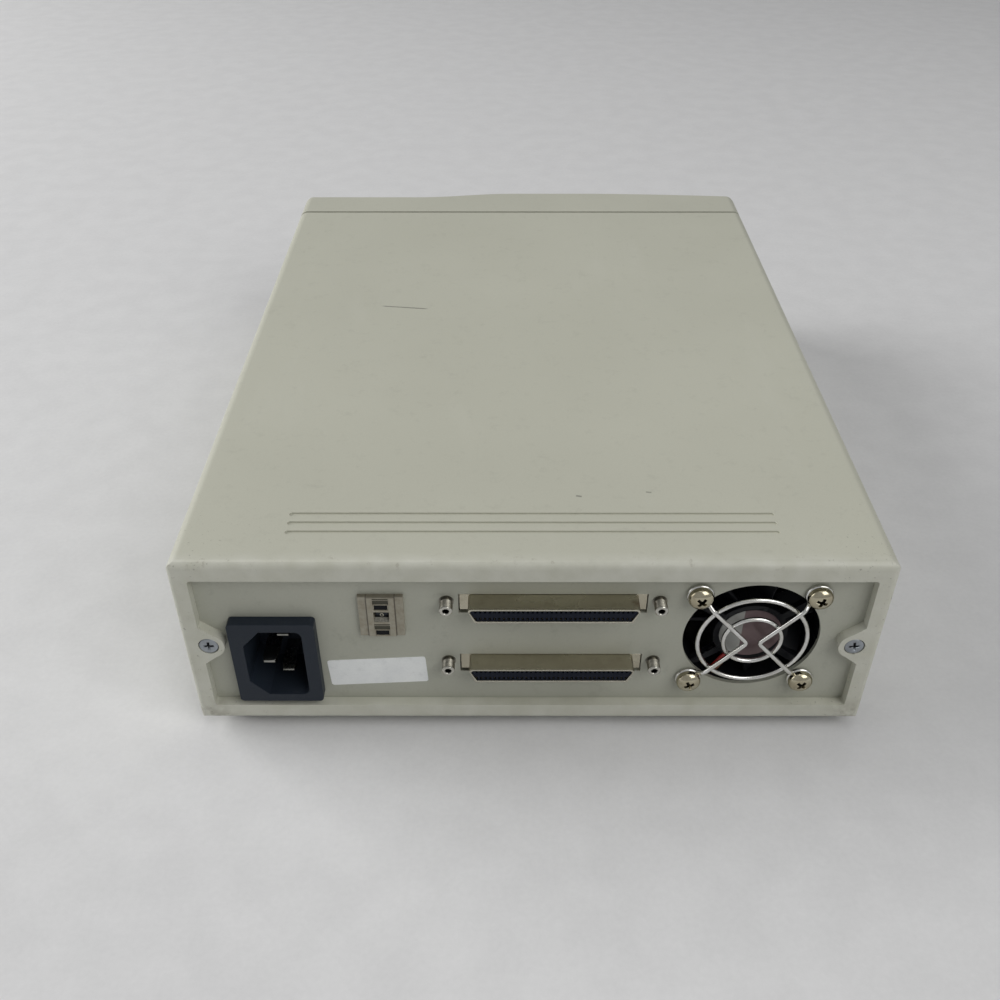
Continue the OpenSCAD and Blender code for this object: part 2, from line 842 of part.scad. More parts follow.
module rubber_feet() color(matt_black) {
    for (sx = [-1, 1], y = [rim_y - foot_in_y, seam_y + foot_in_y])
        translate([sx * (case_w / 2 - foot_in_x), y, 0]) cylinder(d = foot_d, h = foot_h);
}

module case_screws() color(bright_steel) {
    for (side = [-1, 1])
        translate([side * ear_x, rim_y - small_head_h, mid_z])
            rotate([-90, 0, 0])
                cross_screw(small_head_d, small_head_h, ear_screw_d,
                    rim_recess - small_head_h + panel_t + 2 * sheet_t);
}

// Tray with folded sides, front tabs for the bezel and rear tabs for the panel
module base_chassis() color(sheet_steel) difference() {
    union() {
        bar(-tray_w / 2, tray_w / 2, tray_front_y, panel_in_y, tray_z, floor_z);
        for (side = [0, 1]) mirror([side, 0, 0]) {
            bar(tray_w / 2 - sheet_t, tray_w / 2, tray_front_y, panel_in_y, tray_z,
                tray_z + tray_side_h);
            bar(tray_w / 2 - ear_tab_w, tray_w / 2, panel_in_y - sheet_t, panel_in_y, tray_z,
                tray_z + ear_tab_h);
            bar(tray_w / 2 - front_tab_w, tray_w / 2, tray_front_y, tray_front_y + sheet_t, tray_z,
                tray_z + front_tab_h);
        }
        bar(button_x - switch_w, tray_w / 2, tray_front_y, tray_front_y + sheet_t, tray_z,
            button_mid_z + switch_h / 2 + sheet_t);
        for (sx = [-1, 1], sy = [-1, 1])
            translate([psu_x + sx * (psu_w / 2 - psu_screw_in),
                psu_y + sy * (psu_l / 2 - psu_screw_in), tray_z])
                cylinder(d = standoff_d, h = sheet_t + psu_lift);
    }
    for (side = [-1, 1]) {
        translate([side * ear_x, 0, mid_z])
            rod_y(ear_screw_d + 2 * snug, panel_in_y - sheet_t - over, panel_in_y + over);
        translate([side * post_x, 0, case_z + post_z])
            rod_y(bezel_screw_d + 2 * snug, tray_front_y - over, tray_front_y + sheet_t + over);
    }
    for (side = [-1, 1])
        translate([button_x + side * switch_w / 4, 0, button_mid_z])
            rod_y(2 * switch_lead_d, tray_front_y - over, tray_front_y + sheet_t + over);
    for (sx = [-1, 1], sy = [-1, 1])
        translate([psu_x + sx * (psu_w / 2 - psu_screw_in),
            psu_y + sy * (psu_l / 2 - psu_screw_in), floor_z])
            cylinder(d = psu_screw_d + 2 * pin_gap, h = psu_lift + over);
    vents(tray_z - over, floor_z + over);
}

module bezel_screws() color(bright_steel) {
    for (side = [-1, 1])
        translate([side * post_x, tray_front_y + sheet_t, case_z + post_z])
            rotate([-90, 0, 0])
                cross_screw(small_head_d, small_head_h, bezel_screw_d - 2 * pin_gap,
                    bezel_screw_l - over);
}

// Rear panel with all its cut-outs

port_zs = [case_z + port_high_z, case_z + port_low_z];
id_mid_z = case_z + id_z;
inlet_mid_z = case_z + inlet_z;
fan_mid_z = case_z + fan_z;

module rear_panel() color(panel_beige) difference() {
    along_y(panel_in_y, panel_y)
        translate([0, mid_z])
            round_rect(case_w - 2 * wall - 2 * panel_edge_gap,
                case_h - 2 * wall - 2 * panel_edge_gap, inner_edge_r);
    along_y(panel_in_y - over, panel_y + over) {
        translate([inlet_x, inlet_mid_z])
            square([inlet_body_w + 2 * snug, inlet_body_h + 2 * snug], center = true);
        translate([id_x, id_mid_z])
            square([id_body_w + 2 * snug, id_body_h + 2 * snug], center = true);
        for (z = port_zs)
            translate([port_x - cutout_w / 2, z - cutout_down])
                square([cutout_w, cutout_up + cutout_down]);
    }
    translate([fan_x, 0, fan_mid_z]) {
        rod_y(fan_bore_d, panel_in_y - over, panel_y + over);
        for (sx = [-1, 1], sz = [-1, 1])
            translate([sx * fan_pitch / 2, 0, sz * fan_pitch / 2])
                rod_y(fan_hole_d, panel_in_y - over, panel_y + over);
    }
    for (side = [-1, 1])
        translate([side * ear_x, 0, mid_z])
            rod_y(ear_screw_d + 2 * snug, panel_in_y - over, panel_y + over);
    for (side = [-1, 1], z = port_zs)
        translate([port_x + side * jack_pitch / 2, 0, z])
            rod_y(stud_d + 2 * snug, panel_in_y - over, panel_y + over);
}

// Paper label stuck a little askew, with no print
label_w = 28;
label_h = 10;
label_t = 0.15;
label_in_x = 27.9;
label_x = inlet_x - label_in_x;
label_z = 17.2;
label_r = 0.8;
label_turn = 3.4;

module rating_label() color("white")
    translate([label_x, 0, case_z + label_z])
        rotate([0, label_turn, 0])
            along_y(panel_y, panel_y + label_t) round_rect(label_w, label_h, label_r);

// Mains inlet, turned on its side

module plug_outline() {
    w = plug_w / 2;
    h = plug_h / 2;
    cx = plug_chamfer[0];
    cz = plug_chamfer[1];
    r = plug_corner_r;
    polygon([[r - w, -h], [w - cx, -h], [w, cz - h], [w, h - cz], [w - cx, h], [r - w, h],
        [-w, h - r], [-w, r - h]]);
    for (side = [-1, 1]) translate([r - w, side * (h - r)]) circle(r);
}

// Places of the three blades from the middle of the recess, the earth blade first
blade_places = [[blade_stagger, 0], [-blade_stagger, -blade_pitch / 2],
    [-blade_stagger, blade_pitch / 2]];

module inlet_body() color(navy_black) translate([inlet_x, 0, inlet_mid_z]) difference() {
    front = panel_y + inlet_proud;
    union() {
        along_y(panel_y, front) round_rect(inlet_w, inlet_h, inlet_edge_r);
        along_y(panel_in_y - inlet_back, panel_y)
            square([inlet_body_w, inlet_body_h], center = true);
    }
    along_y(front - plug_depth, front + over) plug_outline();
    for (place = blade_places)
        translate([place[0], 0, place[1]])
            bar(-blade_w / 2 - pin_gap, blade_w / 2 + pin_gap, panel_in_y - inlet_back - over,
                front, -blade_t / 2 - pin_gap, blade_t / 2 + pin_gap);
}

module inlet_blades() color(bright_steel) {
    for (i = [0 : len(blade_places) - 1]) {
        place = blade_places[i];
        tip_y = panel_y + inlet_proud - (i == 0 ? earth_in : live_in);
        back_y = panel_in_y - inlet_back;
        translate([inlet_x + place[0], 0, inlet_mid_z + place[1]]) {
            bar(-blade_w / 2, blade_w / 2, back_y, tip_y - blade_t, -blade_t / 2, blade_t / 2);
            // Tip that narrows on its two wide faces
            along_x(-blade_w / 2, blade_w / 2)
                polygon([[tip_y - blade_t, -blade_t / 2], [tip_y, -blade_t / 4],
                    [tip_y, blade_t / 4], [tip_y - blade_t, blade_t / 2]]);
            bar(-blade_w / 2, blade_w / 2, back_y - tab_l, back_y, -tab_t / 2, tab_t / 2);
        }
    }
}

module mains_leads() color("saddlebrown") for (route = mains_routes)
    translate([psu_x, 0, 0]) lead(route, mains_lead_d);

// Number switch: a wheel turned a step at a time by a button above and one below

id_front_y = panel_y + id_proud;
id_axle_y = id_front_y - id_wheel_in - id_wheel_r;

module id_switch_body() color(switch_beige) translate([id_x, 0, id_mid_z]) difference() {
    well_y = id_front_y - id_well_depth;
    side_w = (id_w - id_column_w) / 2;
    union() {
        along_y(panel_y, id_front_y - id_column_out) square([id_w, id_h], center = true);
        along_y(panel_y, id_front_y) square([id_column_w, id_h], center = true);
        along_y(panel_in_y - id_back, panel_y) square([id_body_w, id_body_h], center = true);
    }
    // Well down the middle, with a slope above each button
    for (z = [id_up_z, id_down_z])
        along_x(-id_well_w / 2, id_well_w / 2)
            polygon([[id_front_y + over, z - id_button_h / 2], [well_y, z - id_button_h / 2],
                [well_y, z + id_button_h / 2 + snug], [id_front_y, z + id_button_h / 2 + id_slope_h],
                [id_front_y + over, z + id_button_h / 2 + id_slope_h]]);
    // Window over the wheel
    bar(-id_well_w / 2, id_well_w / 2, id_axle_y, id_front_y + over,
        id_window_z - id_window_h / 2, id_window_z + id_window_h / 2);
    // Chamber for the wheel and its axle
    translate([0, id_axle_y, id_window_z]) {
        rod_x(2 * (id_wheel_r + run_gap), -id_wheel_w / 2 - run_gap, id_wheel_w / 2 + run_gap);
        rod_x(id_axle_d + 2 * pin_gap, -side_w - id_wheel_w / 2, side_w + id_wheel_w / 2);
    }
    // Guides of the two buttons
    for (z = [id_up_z, id_down_z])
        bar(-id_button_w / 2 - snug, id_button_w / 2 + snug,
            id_front_y - id_button_in - id_button_t - id_travel - run_gap, id_front_y + over,
            z - id_button_h / 2 - snug, z + id_button_h / 2 + snug);
}

module id_wheel() color("dimgray") translate([id_x, id_axle_y, id_mid_z + id_window_z]) {
    side_w = (id_w - id_column_w) / 2;
    difference() {
        rod_x(2 * id_wheel_r, -id_wheel_w / 2, id_wheel_w / 2);
        for (i = [0 : id_digit_n - 1])
            rotate([(i + 0.5) * 360 / id_digit_n, 0, 0])
                translate([0, id_wheel_r, 0])
                    cube([id_wheel_w + over, 2 * id_notch, 2 * id_notch], center = true);
    }
    rod_x(id_axle_d, run_gap - side_w - id_wheel_w / 2, side_w + id_wheel_w / 2 - run_gap);
}

module id_button(z) color(matt_black) translate([id_x, 0, id_mid_z + z])
    bar(-id_button_w / 2, id_button_w / 2, id_front_y - id_button_in - id_button_t,
        id_front_y - id_button_in, -id_button_h / 2, id_button_h / 2);

module id_button_up() id_button(id_up_z);
module id_button_down() id_button(id_down_z);

// Rear connectors

// Shell outline, wide side up, drawn in by an inset
module shell_outline(inset) {
    top = shell_top_w / 2 - inset;
    bottom = shell_bottom_w / 2 - inset;
    h = shell_h / 2 - inset;
    r = shell_corner_r;
    polygon([[-bottom, -h], [bottom, -h], [bottom + r / 2, r - h], [top, h - r], [top - r, h],
        [r - top, h], [-top, h - r], [-bottom - r / 2, r - h]]);
}

module at_ports() for (z = port_zs) translate([port_x, 0, z]) children();

module connector_shells() color(nickel) at_ports() difference() {
    union() {
        along_y(panel_y - rim_recess, panel_y + shell_proud) shell_outline(0);
        along_y(panel_y - rim_recess, panel_y - snug)
            translate([0, -collar_down]) square([collar_w, collar_h], center = true);
        along_y(panel_y - rim_recess - bracket_t, panel_y - rim_recess)
            square([bracket_w, bracket_h], center = true);
    }
    along_y(panel_y - rim_recess - bracket_t - over, panel_y + shell_proud + over)
        shell_outline(shell_t);
    for (side = [-1, 1]) translate([side * jack_pitch / 2, 0, 0])
        rod_y(stud_d + 2 * pin_gap, panel_y - rim_recess - bracket_t - over, panel_y);
}

board_y = panel_y - rim_recess - bracket_t - port_body_d;

module connector_inserts() color(navy_black) at_ports() {
    face_y = panel_y + shell_proud - insert_in;
    back_y = panel_y - rim_recess - bracket_t;
    difference() {
        union() {
            along_y(back_y, face_y) shell_outline(shell_t + pin_gap);
            along_y(board_y, back_y) square([port_body_w, port_body_h], center = true);
        }
        for (i = [0 : contact_n - 1], row = [-1, 1])
            translate([(i - (contact_n - 1) / 2) * contact_pitch, face_y,
                row * contact_row_gap / 2])
                cube([contact_slot_w, 2 * contact_slot_depth, contact_slot_h], center = true);
    }
}

module jackscrews() color(bright_steel) at_ports() for (side = [-1, 1])
    translate([side * jack_pitch / 2, 0, 0]) difference() {
        union() {
            rod_y(jack_d, panel_y, panel_y + jack_l);
            rod_y(jack_flange_d, panel_y, panel_y + jack_flange_h);
            rod_y(stud_d, panel_y - rim_recess - bracket_t - sheet_t, panel_y);
        }
        rod_y(jack_hole_d, panel_y + jack_flange_h, panel_y + jack_l + over);
    }

header_z = mid_z;
module connector_board() {
    color(board_green)
        translate([port_x + port_board_shift, 0, case_z + port_board_z])
            bar(-port_board_w / 2, port_board_w / 2, board_y - board_t, board_y, 0, port_board_h);
    color(matt_black)
        translate([ribbon_x, board_y - board_t, header_z])
            bar(-header_w / 2, header_w / 2, -header_d, 0, -header_h / 2, header_h / 2);
}

drive_back_y = drive_face_y + drive_l;
// Ribbon: flat cable that hangs in one smooth bow between the board and the drive
ribbon_start = [board_y - board_t - header_d, header_z];
ribbon_end = [drive_back_y + rear_port_d, drive_z + rear_port_z];
function ribbon_line(t) =
    [ribbon_start[0] + (ribbon_end[0] - ribbon_start[0]) * t,
        ribbon_start[1] + (ribbon_end[1] - ribbon_start[1]) * ease(t) - ribbon_sag * sin(360 * ease(t))];

module ribbon_cable() color("lightgray") {
    upper = [for (i = [0 : ribbon_points]) ribbon_line(i / ribbon_points) + [0, ribbon_t / 2]];
    lower = [for (i = [ribbon_points : -1 : 0]) ribbon_line(i / ribbon_points) - [0, ribbon_t / 2]];
    along_x(ribbon_x - ribbon_w / 2, ribbon_x + ribbon_w / 2) polygon(concat(upper, lower));
}

// Fan

strut_y = panel_in_y - strut_t;
hub_y = panel_in_y - snug;

module at_fan() translate([fan_x, 0, fan_mid_z]) children();
module at_fan_corners() at_fan() for (sx = [-1, 1], sz = [-1, 1])
    translate([sx * fan_pitch / 2, 0, sz * fan_pitch / 2]) children();

module fan_frame() color(matt_black) {
    at_fan() difference() {
        along_y(panel_in_y - fan_depth, panel_in_y) square([fan_size, fan_size], center = true);
        rod_y(fan_bore_d, panel_in_y - fan_depth - over, panel_in_y + over);
        for (sx = [-1, 1], sz = [-1, 1])
            translate([sx * fan_pitch / 2, 0, sz * fan_pitch / 2])
                rod_y(fan_thread_d + 2 * pin_gap, panel_in_y - fan_depth - over, panel_in_y + over);
    }
    at_fan() {
        for (a = strut_angles)
            rotate([0, -a, 0])
                bar(hub_d / 2 - strut_w / 2, fan_bore_d / 2 + strut_w / 4, strut_y, hub_y,
                    -strut_w / 2, strut_w / 2);
        difference() {
            rod_y(hub_d, hub_y - hub_t, hub_y);
            rod_y(fan_label_d + 2 * snug, hub_y - fan_label_t, hub_y + over);
        }
        // Bearing tube for the rotor's shaft
        difference() {
            rod_y(bearing_d, hub_y - hub_t - rotor_h + rotor_wall + run_gap, hub_y - hub_t);
            rod_y(fan_shaft_d + 2 * pin_gap, hub_y - hub_t - rotor_h, hub_y - hub_t);
        }
    }
}

module fan_label() color("silver") at_fan() rod_y(fan_label_d, hub_y - fan_label_t, hub_y);

module fan_rotor() color("#26262a") at_fan() {
    rotor_back = hub_y - hub_t - run_gap;
    rotor_front = rotor_back - rotor_h + run_gap;
    difference() {
        rod_y(rotor_d, rotor_front, rotor_back);
        rod_y(rotor_d - 2 * rotor_wall, rotor_front + rotor_wall, rotor_back + over);
    }
    rod_y(fan_shaft_d, rotor_front, hub_y - hub_t - run_gap);
    blade_len = (fan_bore_d - rotor_d) / 2 - blade_tip_gap;
    intersection() {
        for (i = [0 : blade_n - 1])
            rotate([0, 360 * i / blade_n, 0])
                translate([rotor_d / 2 + blade_len / 2, (rotor_front + rotor_back) / 2, 0])
                    rotate([blade_pitch_angle, 0, 0])
                        cube([blade_len + rotor_wall, fan_blade_chord, fan_blade_t], center = true);
        difference() {
            rod_y(rotor_d + 2 * blade_len, rotor_front, rotor_back);
            rod_y(rotor_d - rotor_wall, rotor_front - over, rotor_back + over);
        }
    }
}

// Guard: two rings under two bent wires that step down to an eye at each screw
guard_ring_y = panel_y + guard_rise - guard_wire_d * guard_weld_share;
module ring_y(d, y) translate([0, y, 0]) rotate([90, 0, 0])
    rotate_extrude() translate([d / 2, 0]) circle(d = guard_wire_d);

// Straight wire between two points, with a ball on its first end
module wire(a, b) {
    v = b - a;
    translate(a) {
        rotate([0, acos(v[2] / norm(v)), atan2(v[1], v[0])])
            cylinder(d = guard_wire_d, h = norm(v));
        sphere(d = guard_weld_d);
    }
}

module fan_guard() color("silver") at_fan() {
    top_y = panel_y + guard_rise;
    foot_y = panel_y + guard_wire_d / 2;
    corner = fan_pitch / 2;
    knee = guard_big_d / 2 + guard_wire_d;
    for (d = [guard_big_d, guard_small_d]) ring_y(d, guard_ring_y);
    for (sx = [-1, 1], sz = [-1, 1]) {
        reach = unit([corner - guard_apex, corner]);
        bend_at = [guard_apex + reach[0] * knee, reach[1] * knee];
        eye_at = [corner - eye_r * reach[0], corner - eye_r * reach[1]];
        apex = [sx * guard_apex, top_y, 0];
        bent = [sx * bend_at[0], top_y, sz * bend_at[1]];
        eye = [sx * eye_at[0], foot_y, sz * eye_at[1]];
        wire(apex, bent);
        wire(bent, eye);
        translate([sx * corner, 0, sz * corner]) ring_y(2 * eye_r, foot_y);
    }
}

module fan_screws() color(nickel) at_fan_corners()
    translate([0, panel_y + guard_wire_d + pin_gap, 0])
        rotate([-90, 0, 0])
            cross_screw(pan_head_d, pan_head_h, fan_thread_d, fan_screw_l);

module fan_leads() color("firebrick") for (route = fan_routes) lead(route, fan_lead_d);

// Power supply

board_top = floor_z + psu_lift + board_t;
module at_psu(x, y) translate([psu_x + x, psu_y + y, board_top]) children();
module psu_corners() for (sx = [-1, 1], sy = [-1, 1])
    translate([psu_x + sx * (psu_w / 2 - psu_screw_in), psu_y + sy * (psu_l / 2 - psu_screw_in), 0])
        children();

module psu_board() color("#8a6a3a") difference() {
    translate([psu_x, psu_y, 0])
        bar(-psu_w / 2, psu_w / 2, -psu_l / 2, psu_l / 2, board_top - board_t, board_top);
    psu_corners() up(board_top - board_t - over)
        cylinder(d = psu_screw_d + 2 * snug, h = board_t + 2 * over);
}

module psu_screws() color(bright_steel) psu_corners() up(board_top)
    cross_screw(small_head_d, small_head_h, psu_screw_d, psu_lift);

module psu_transformer() at_psu(0, 0) {
    size = transformer_size;
    core = transformer_core;
    color("goldenrod") difference() {
        translate([-size[0] / 2, -size[1] / 2, 0]) cube(size);
        translate([0, 0, size[2] / 2]) cube([core[0] + over, core[1], core[2]], center = true);
    }
    color("#3a3a3c") translate([0, 0, size[2] / 2])
        cube([core[0], core[1] - 2 * snug, core[2] - 2 * snug], center = true);
}

module psu_capacitors() color("#20304f") {
    for (s = big_cap_shares) at_psu(s[0] * psu_w, s[1] * psu_l) cylinder(d = big_cap_d, h = big_cap_h);
    for (s = small_cap_shares)
        at_psu(s[0] * psu_w, s[1] * psu_l) cylinder(d = small_cap_d, h = small_cap_h);
}

module psu_heatsinks() color("#8d9196") for (side = [-1, 1])
    at_psu(side * heatsink_share * psu_w, 0) mirror([side < 0 ? 1 : 0, 0, 0]) {
        bar(0, heatsink_t, -heatsink_l / 2, heatsink_l / 2, 0, heatsink_h);
        for (i = [0 : fin_n - 1])
            translate([0, (i / (fin_n - 1) - 0.5) * (heatsink_l - heatsink_t), 0])
                bar(-fin_l, 0, -heatsink_t / 2, heatsink_t / 2, 0, heatsink_h);
    }

module terminal(size, place) at_psu(place[0], place[1])
    bar(-size[0] / 2, size[0] / 2, -size[1] / 2, size[1] / 2, 0, terminal_h);

module psu_terminals() color("ivory") {
    terminal(mains_terminal, mains_terminal_at);
    terminal(fan_terminal, fan_terminal_at);
    terminal(dc_terminal, dc_terminal_at);
    terminal(switch_terminal, switch_terminal_at);
}

// Leads to the drive: its supply, and the number switch's signal
module drive_leads() {
    translate([drive_x, 0, 0]) color("gold") for (i = [0 : dc_lead_n - 1])
        lead([for (k = [0 : len(dc_route) - 1]) dc_route[k] + i * dc_step[k]], dc_lead_d);
    translate([drive_x, 0, 0]) color("gray") for (route = id_routes) lead(route, id_lead_d);
}

// Power switch, its button and the lamp

button_face_y = flat_y - button_out;
switch_front_y = tray_front_y - switch_l;

module power_switch_body() color(matt_black) translate([button_x, 0, button_mid_z]) {
    difference() {
        bar(-switch_w / 2, switch_w / 2, switch_front_y, tray_front_y, -switch_h / 2, switch_h / 2);
        rod_y(plunger_d + 2 * snug, switch_front_y - over,
            switch_front_y + switch_pin_l + button_travel + over);
    }
    for (side = [-1, 1]) translate([side * switch_w / 4, 0, 0])
        rod_y(switch_lead_d, tray_front_y, tray_front_y + switch_pin_l);
}

module power_button() color("#5d6068") translate([button_x, 0, button_mid_z]) {
    along_y(button_face_y, button_face_y + button_l) round_rect(button_w, button_h, button_r);
    rod_y(plunger_d, button_face_y + button_l, switch_front_y + switch_pin_l);
}

module power_lamp() color("limegreen") translate([button_x, 0, lamp_mid_z])
    bar(-lamp_w / 2, lamp_w / 2, flat_y - lamp_out, flat_y - lamp_out + lamp_l, -lamp_h / 2,
        lamp_h / 2);

module switch_leads() color("dimgray") for (route = switch_routes)
    translate([psu_x, 0, 0]) lead(route, switch_lead_d);

// Tape drive

module in_drive() translate([drive_x, drive_face_y, drive_z]) children();

module drive_rails() color(sheet_steel) for (side = [0, 1])
    translate([drive_x, drive_face_y, 0]) mirror([side, 0, 0]) difference() {
        inner_x = drive_w / 2 + rail_gap;
        union() {
            bar(inner_x, inner_x + sheet_t, rail_from, rail_from + rail_l, floor_z, floor_z + rail_h);
            bar(inner_x, inner_x + rail_flange, rail_from, rail_from + rail_l, floor_z,
                floor_z + sheet_t);
        }
        for (y = drive_screw_ys)
            translate([0, y, drive_z + drive_screw_up])
                rod_x(drive_screw_d + 2 * snug, inner_x - over, inner_x + sheet_t + over);
    }

module drive_screws() color(bright_steel) for (side = [0, 1])
    in_drive() mirror([side, 0, 0]) for (y = drive_screw_ys)
        translate([drive_w / 2 + rail_gap + sheet_t, y, drive_screw_up])
            rotate([0, 90, 0])
                cross_screw(small_head_d, small_head_h, drive_screw_d, drive_screw_l);

frame_back = drive_l;
motor_at = gear_at + [0, gear_module * (gear_teeth + pinion_teeth) / 2];

// Frame: two side walls, a deck that carries the mechanism, a rear wall and the fixed pins
module drive_frame() color("#a7abae") in_drive() difference() {
    wall_h = drive_h - lid_t;
    union() {
        for (side = [0, 1]) mirror([side, 0, 0])
            bar(drive_w / 2 - frame_t, drive_w / 2, front_t, frame_back, 0, wall_h);
        bar(frame_t - drive_w / 2, drive_w / 2 - frame_t, frame_back - frame_t, frame_back, 0, wall_h);
        bar(frame_t - drive_w / 2, drive_w / 2 - frame_t, front_t, frame_back - frame_t, deck_z,
            deck_top);
        for (side = [-1, 1]) translate([side * reel_gap / 2, reel_y, deck_top])
            cylinder(d = axle_d, h = reel_hub_h - reel_lift);
        over_place(capstan_at, deck_top)
            cylinder(d = capstan_d + 2 * bearing_wall, h = bearing_h);
        over_place(pinch_at, deck_top)
            cylinder(d = axle_d, h = pinch_arm_z - deck_top + 2 * pinch_arm_t);
        over_place(pinch_at, deck_top)
            cylinder(d = pinch_hub_d, h = pinch_arm_z - deck_top - run_gap);
        over_place(gear_at, deck_top)
            cylinder(d = axle_d, h = gear_lift + gear_t + run_gap);
        for (side = [-1, 1])
            translate([motor_at[0] + side * (motor_plate[0] - motor_post_d) / 2, motor_at[1],
                deck_top])
                cylinder(d = motor_post_d, h = motor_lift);
    }
    over_place(capstan_at, deck_z - over)
        cylinder(d = capstan_d + 2 * pin_gap, h = deck_t + bearing_h + 2 * over);
    // Straight slots that the two tape guides run in
    way = norm(guide_way);
    for (side = [0, 1]) mirror([side, 0, 0])
        translate([guide_start[0] + guide_way[0] / 2, guide_start[1] + guide_way[1] / 2,
            deck_z - over])
            linear_extrude(deck_t + 2 * over)
                rotate(atan2(guide_way[1], guide_way[0]))
                    slot_shape(way + guide_tongue_d + 2 * run_gap, guide_tongue_d + 2 * run_gap);
    // Openings of the rear wall for the board's sockets
    for (port = rear_ports)
        translate([port[0], frame_back, rear_port_z])
            bar(-port[1] / 2 - snug, port[1] / 2 + snug, -frame_t - over, over,
                -rear_port_h / 2 - snug, rear_port_h / 2 + snug);
    for (side = [-1, 1], y = drive_screw_ys)
        translate([side * drive_w / 2, y, drive_screw_up])
            rod_x(drive_screw_d + 2 * pin_gap, -frame_t - over, frame_t + over);
}

module drive_lid() color("#b9bcbd") in_drive() {
    bar(-drive_w / 2, drive_w / 2, front_t, frame_back, drive_h - lid_t, drive_h);
}

pocket_low = slot_z - slot_h / 2 - door_over;
hinge_z = slot_z + slot_h / 2 + hinge_up;
hinge_y = slot_lip + run_gap + hinge_d / 2;

module drive_front() color("#b8b6aa") in_drive() difference() {
    bar(-drive_w / 2, drive_w / 2, 0, front_t, 0, drive_h);
    up(slot_z)
        bar(-slot_w / 2, slot_w / 2, -over, front_t + over, -slot_h / 2, slot_h / 2);
    // Pocket that the door closes into, from behind
    bar(-door_pocket_w / 2, door_pocket_w / 2, slot_lip, front_t + over, pocket_low - run_gap,
        hinge_z + hinge_d / 2 + run_gap);
    translate([0, hinge_y, hinge_z])
        rod_x(hinge_pin_d + 2 * pin_gap, -door_pocket_w / 2 - frame_t, door_pocket_w / 2 + frame_t);
    // Finger scoop below and above the slot
    translate([0, -finger_r + finger_depth / 2, slot_z]) intersection() {
        up(-slot_h) cylinder(r = finger_r, h = 2 * slot_h);
        bar(-finger_r, finger_r, 0, 2 * finger_r, -slot_h, slot_h);
    }
    translate([eject_x, 0, low_row_z])
        bar(-eject_w / 2 - run_gap, eject_w / 2 + run_gap, -over, front_t + over,
            -eject_h / 2 - run_gap, eject_h / 2 + run_gap);
    for (x = drive_lamp_xs) translate([x, 0, low_row_z])
        bar(-drive_lamp_w / 2 - snug, drive_lamp_w / 2 + snug, -over, front_t + over,
            -drive_lamp_h / 2 - snug, drive_lamp_h / 2 + snug);
}

// Door: a flap that hangs from a pin along its top and swings inwards
module cassette_door() color("#a5a399") in_drive() {
    bar(-door_w / 2, door_w / 2, slot_lip + run_gap, slot_lip + run_gap + door_t, pocket_low,
        hinge_z);
    translate([0, hinge_y, hinge_z]) {
        rod_x(hinge_d, -door_w / 2, door_w / 2);
        rod_x(hinge_pin_d, -door_pocket_w / 2 - frame_t + run_gap,
            door_pocket_w / 2 + frame_t - run_gap);
    }
}

module eject_button() color("#5d6068") in_drive() translate([eject_x, 0, low_row_z]) {
    bar(-eject_w / 2, eject_w / 2, -eject_out, eject_l - eject_out, -eject_h / 2, eject_h / 2);
}

module drive_lamps() color("limegreen") in_drive() for (x = drive_lamp_xs)
    translate([x, 0, low_row_z])
        bar(-drive_lamp_w / 2, drive_lamp_w / 2, -snug, drive_lamp_l, -drive_lamp_h / 2,
            drive_lamp_h / 2);

module main_board() in_drive() {
    color(board_green)
        bar(frame_t + main_board_gap - drive_w / 2, drive_w / 2 - frame_t - main_board_gap,
            front_t + eject_l, frame_back - frame_t - main_board_gap, main_board_z - board_t,
            main_board_z);
    color(matt_black)
        for (port = rear_ports)
            translate([port[0], frame_back, rear_port_z])
                bar(-port[1] / 2, port[1] / 2, -frame_t - 2 * rear_port_d, rear_port_d,
                    -rear_port_h / 2, rear_port_h / 2);
}

// Mechanism

tilt = [-drum_tilt, 0, 0];
drum_seat = deck_top;

module drum_base() color("#c3c6c8") in_drive() {
    difference() {
        translate([0, drum_y, drum_seat]) rotate(tilt) {
            up(-drum_low_h / 2) cylinder(d = drum_d, h = 1.5 * drum_low_h);
            cylinder(d = drum_shaft_d, h = drum_low_h + drum_high_h);
        }
        translate([-drum_d, drum_y - drum_d, drum_seat - drum_d]) cube([2 * drum_d, 2 * drum_d, drum_d]);
    }
}

module head_drum() color("#d8dadb") in_drive() translate([0, drum_y, drum_seat]) rotate(tilt)
    difference() {
        union() {
            up(drum_low_h + run_gap) cylinder(d = drum_d, h = drum_high_h);
            up(drum_low_h + run_gap + drum_high_h)
                cylinder(d = drum_cap_d, h = drum_cap_h);
        }
        up(drum_low_h - over)
            cylinder(d = drum_shaft_d + 2 * pin_gap, h = drum_high_h + over + run_gap);
        for (i = [0 : head_n - 1])
            rotate([0, 0, 360 * i / head_n])
                translate([drum_d / 2, 0, drum_low_h + run_gap])
                    cube([head_w, head_w, 2 * head_h], center = true);
    }

module capstan() color("#d8dadb") in_drive() over_place(capstan_at, 0) {
    up(flywheel_z) cylinder(d = capstan_d, h = capstan_top - flywheel_z);
    up(flywheel_z) cylinder(d = flywheel_d, h = flywheel_h);
}

// Reel table: a flange and a hub with three ribs that enter the cassette's reel
module reel_table(side) color("#e4e2da") in_drive()
    translate([side * reel_gap / 2, reel_y, deck_top + reel_lift]) difference() {
        union() {
            cylinder(d = reel_flange_d, h = reel_flange_t);
            cylinder(d = reel_hub_d, h = reel_hub_h);
            for (a = [0, 120, 240]) rotate([0, 0, a])
                translate([0, -reel_rib_t / 2, 0])
                    cube([reel_hub_d / 2 + reel_rib_out, reel_rib_t, reel_hub_h - reel_rib_t]);
        }
        bore(axle_d + 2 * pin_gap, reel_hub_h);
    }

module supply_reel_table() reel_table(-1);
module takeup_reel_table() reel_table(1);

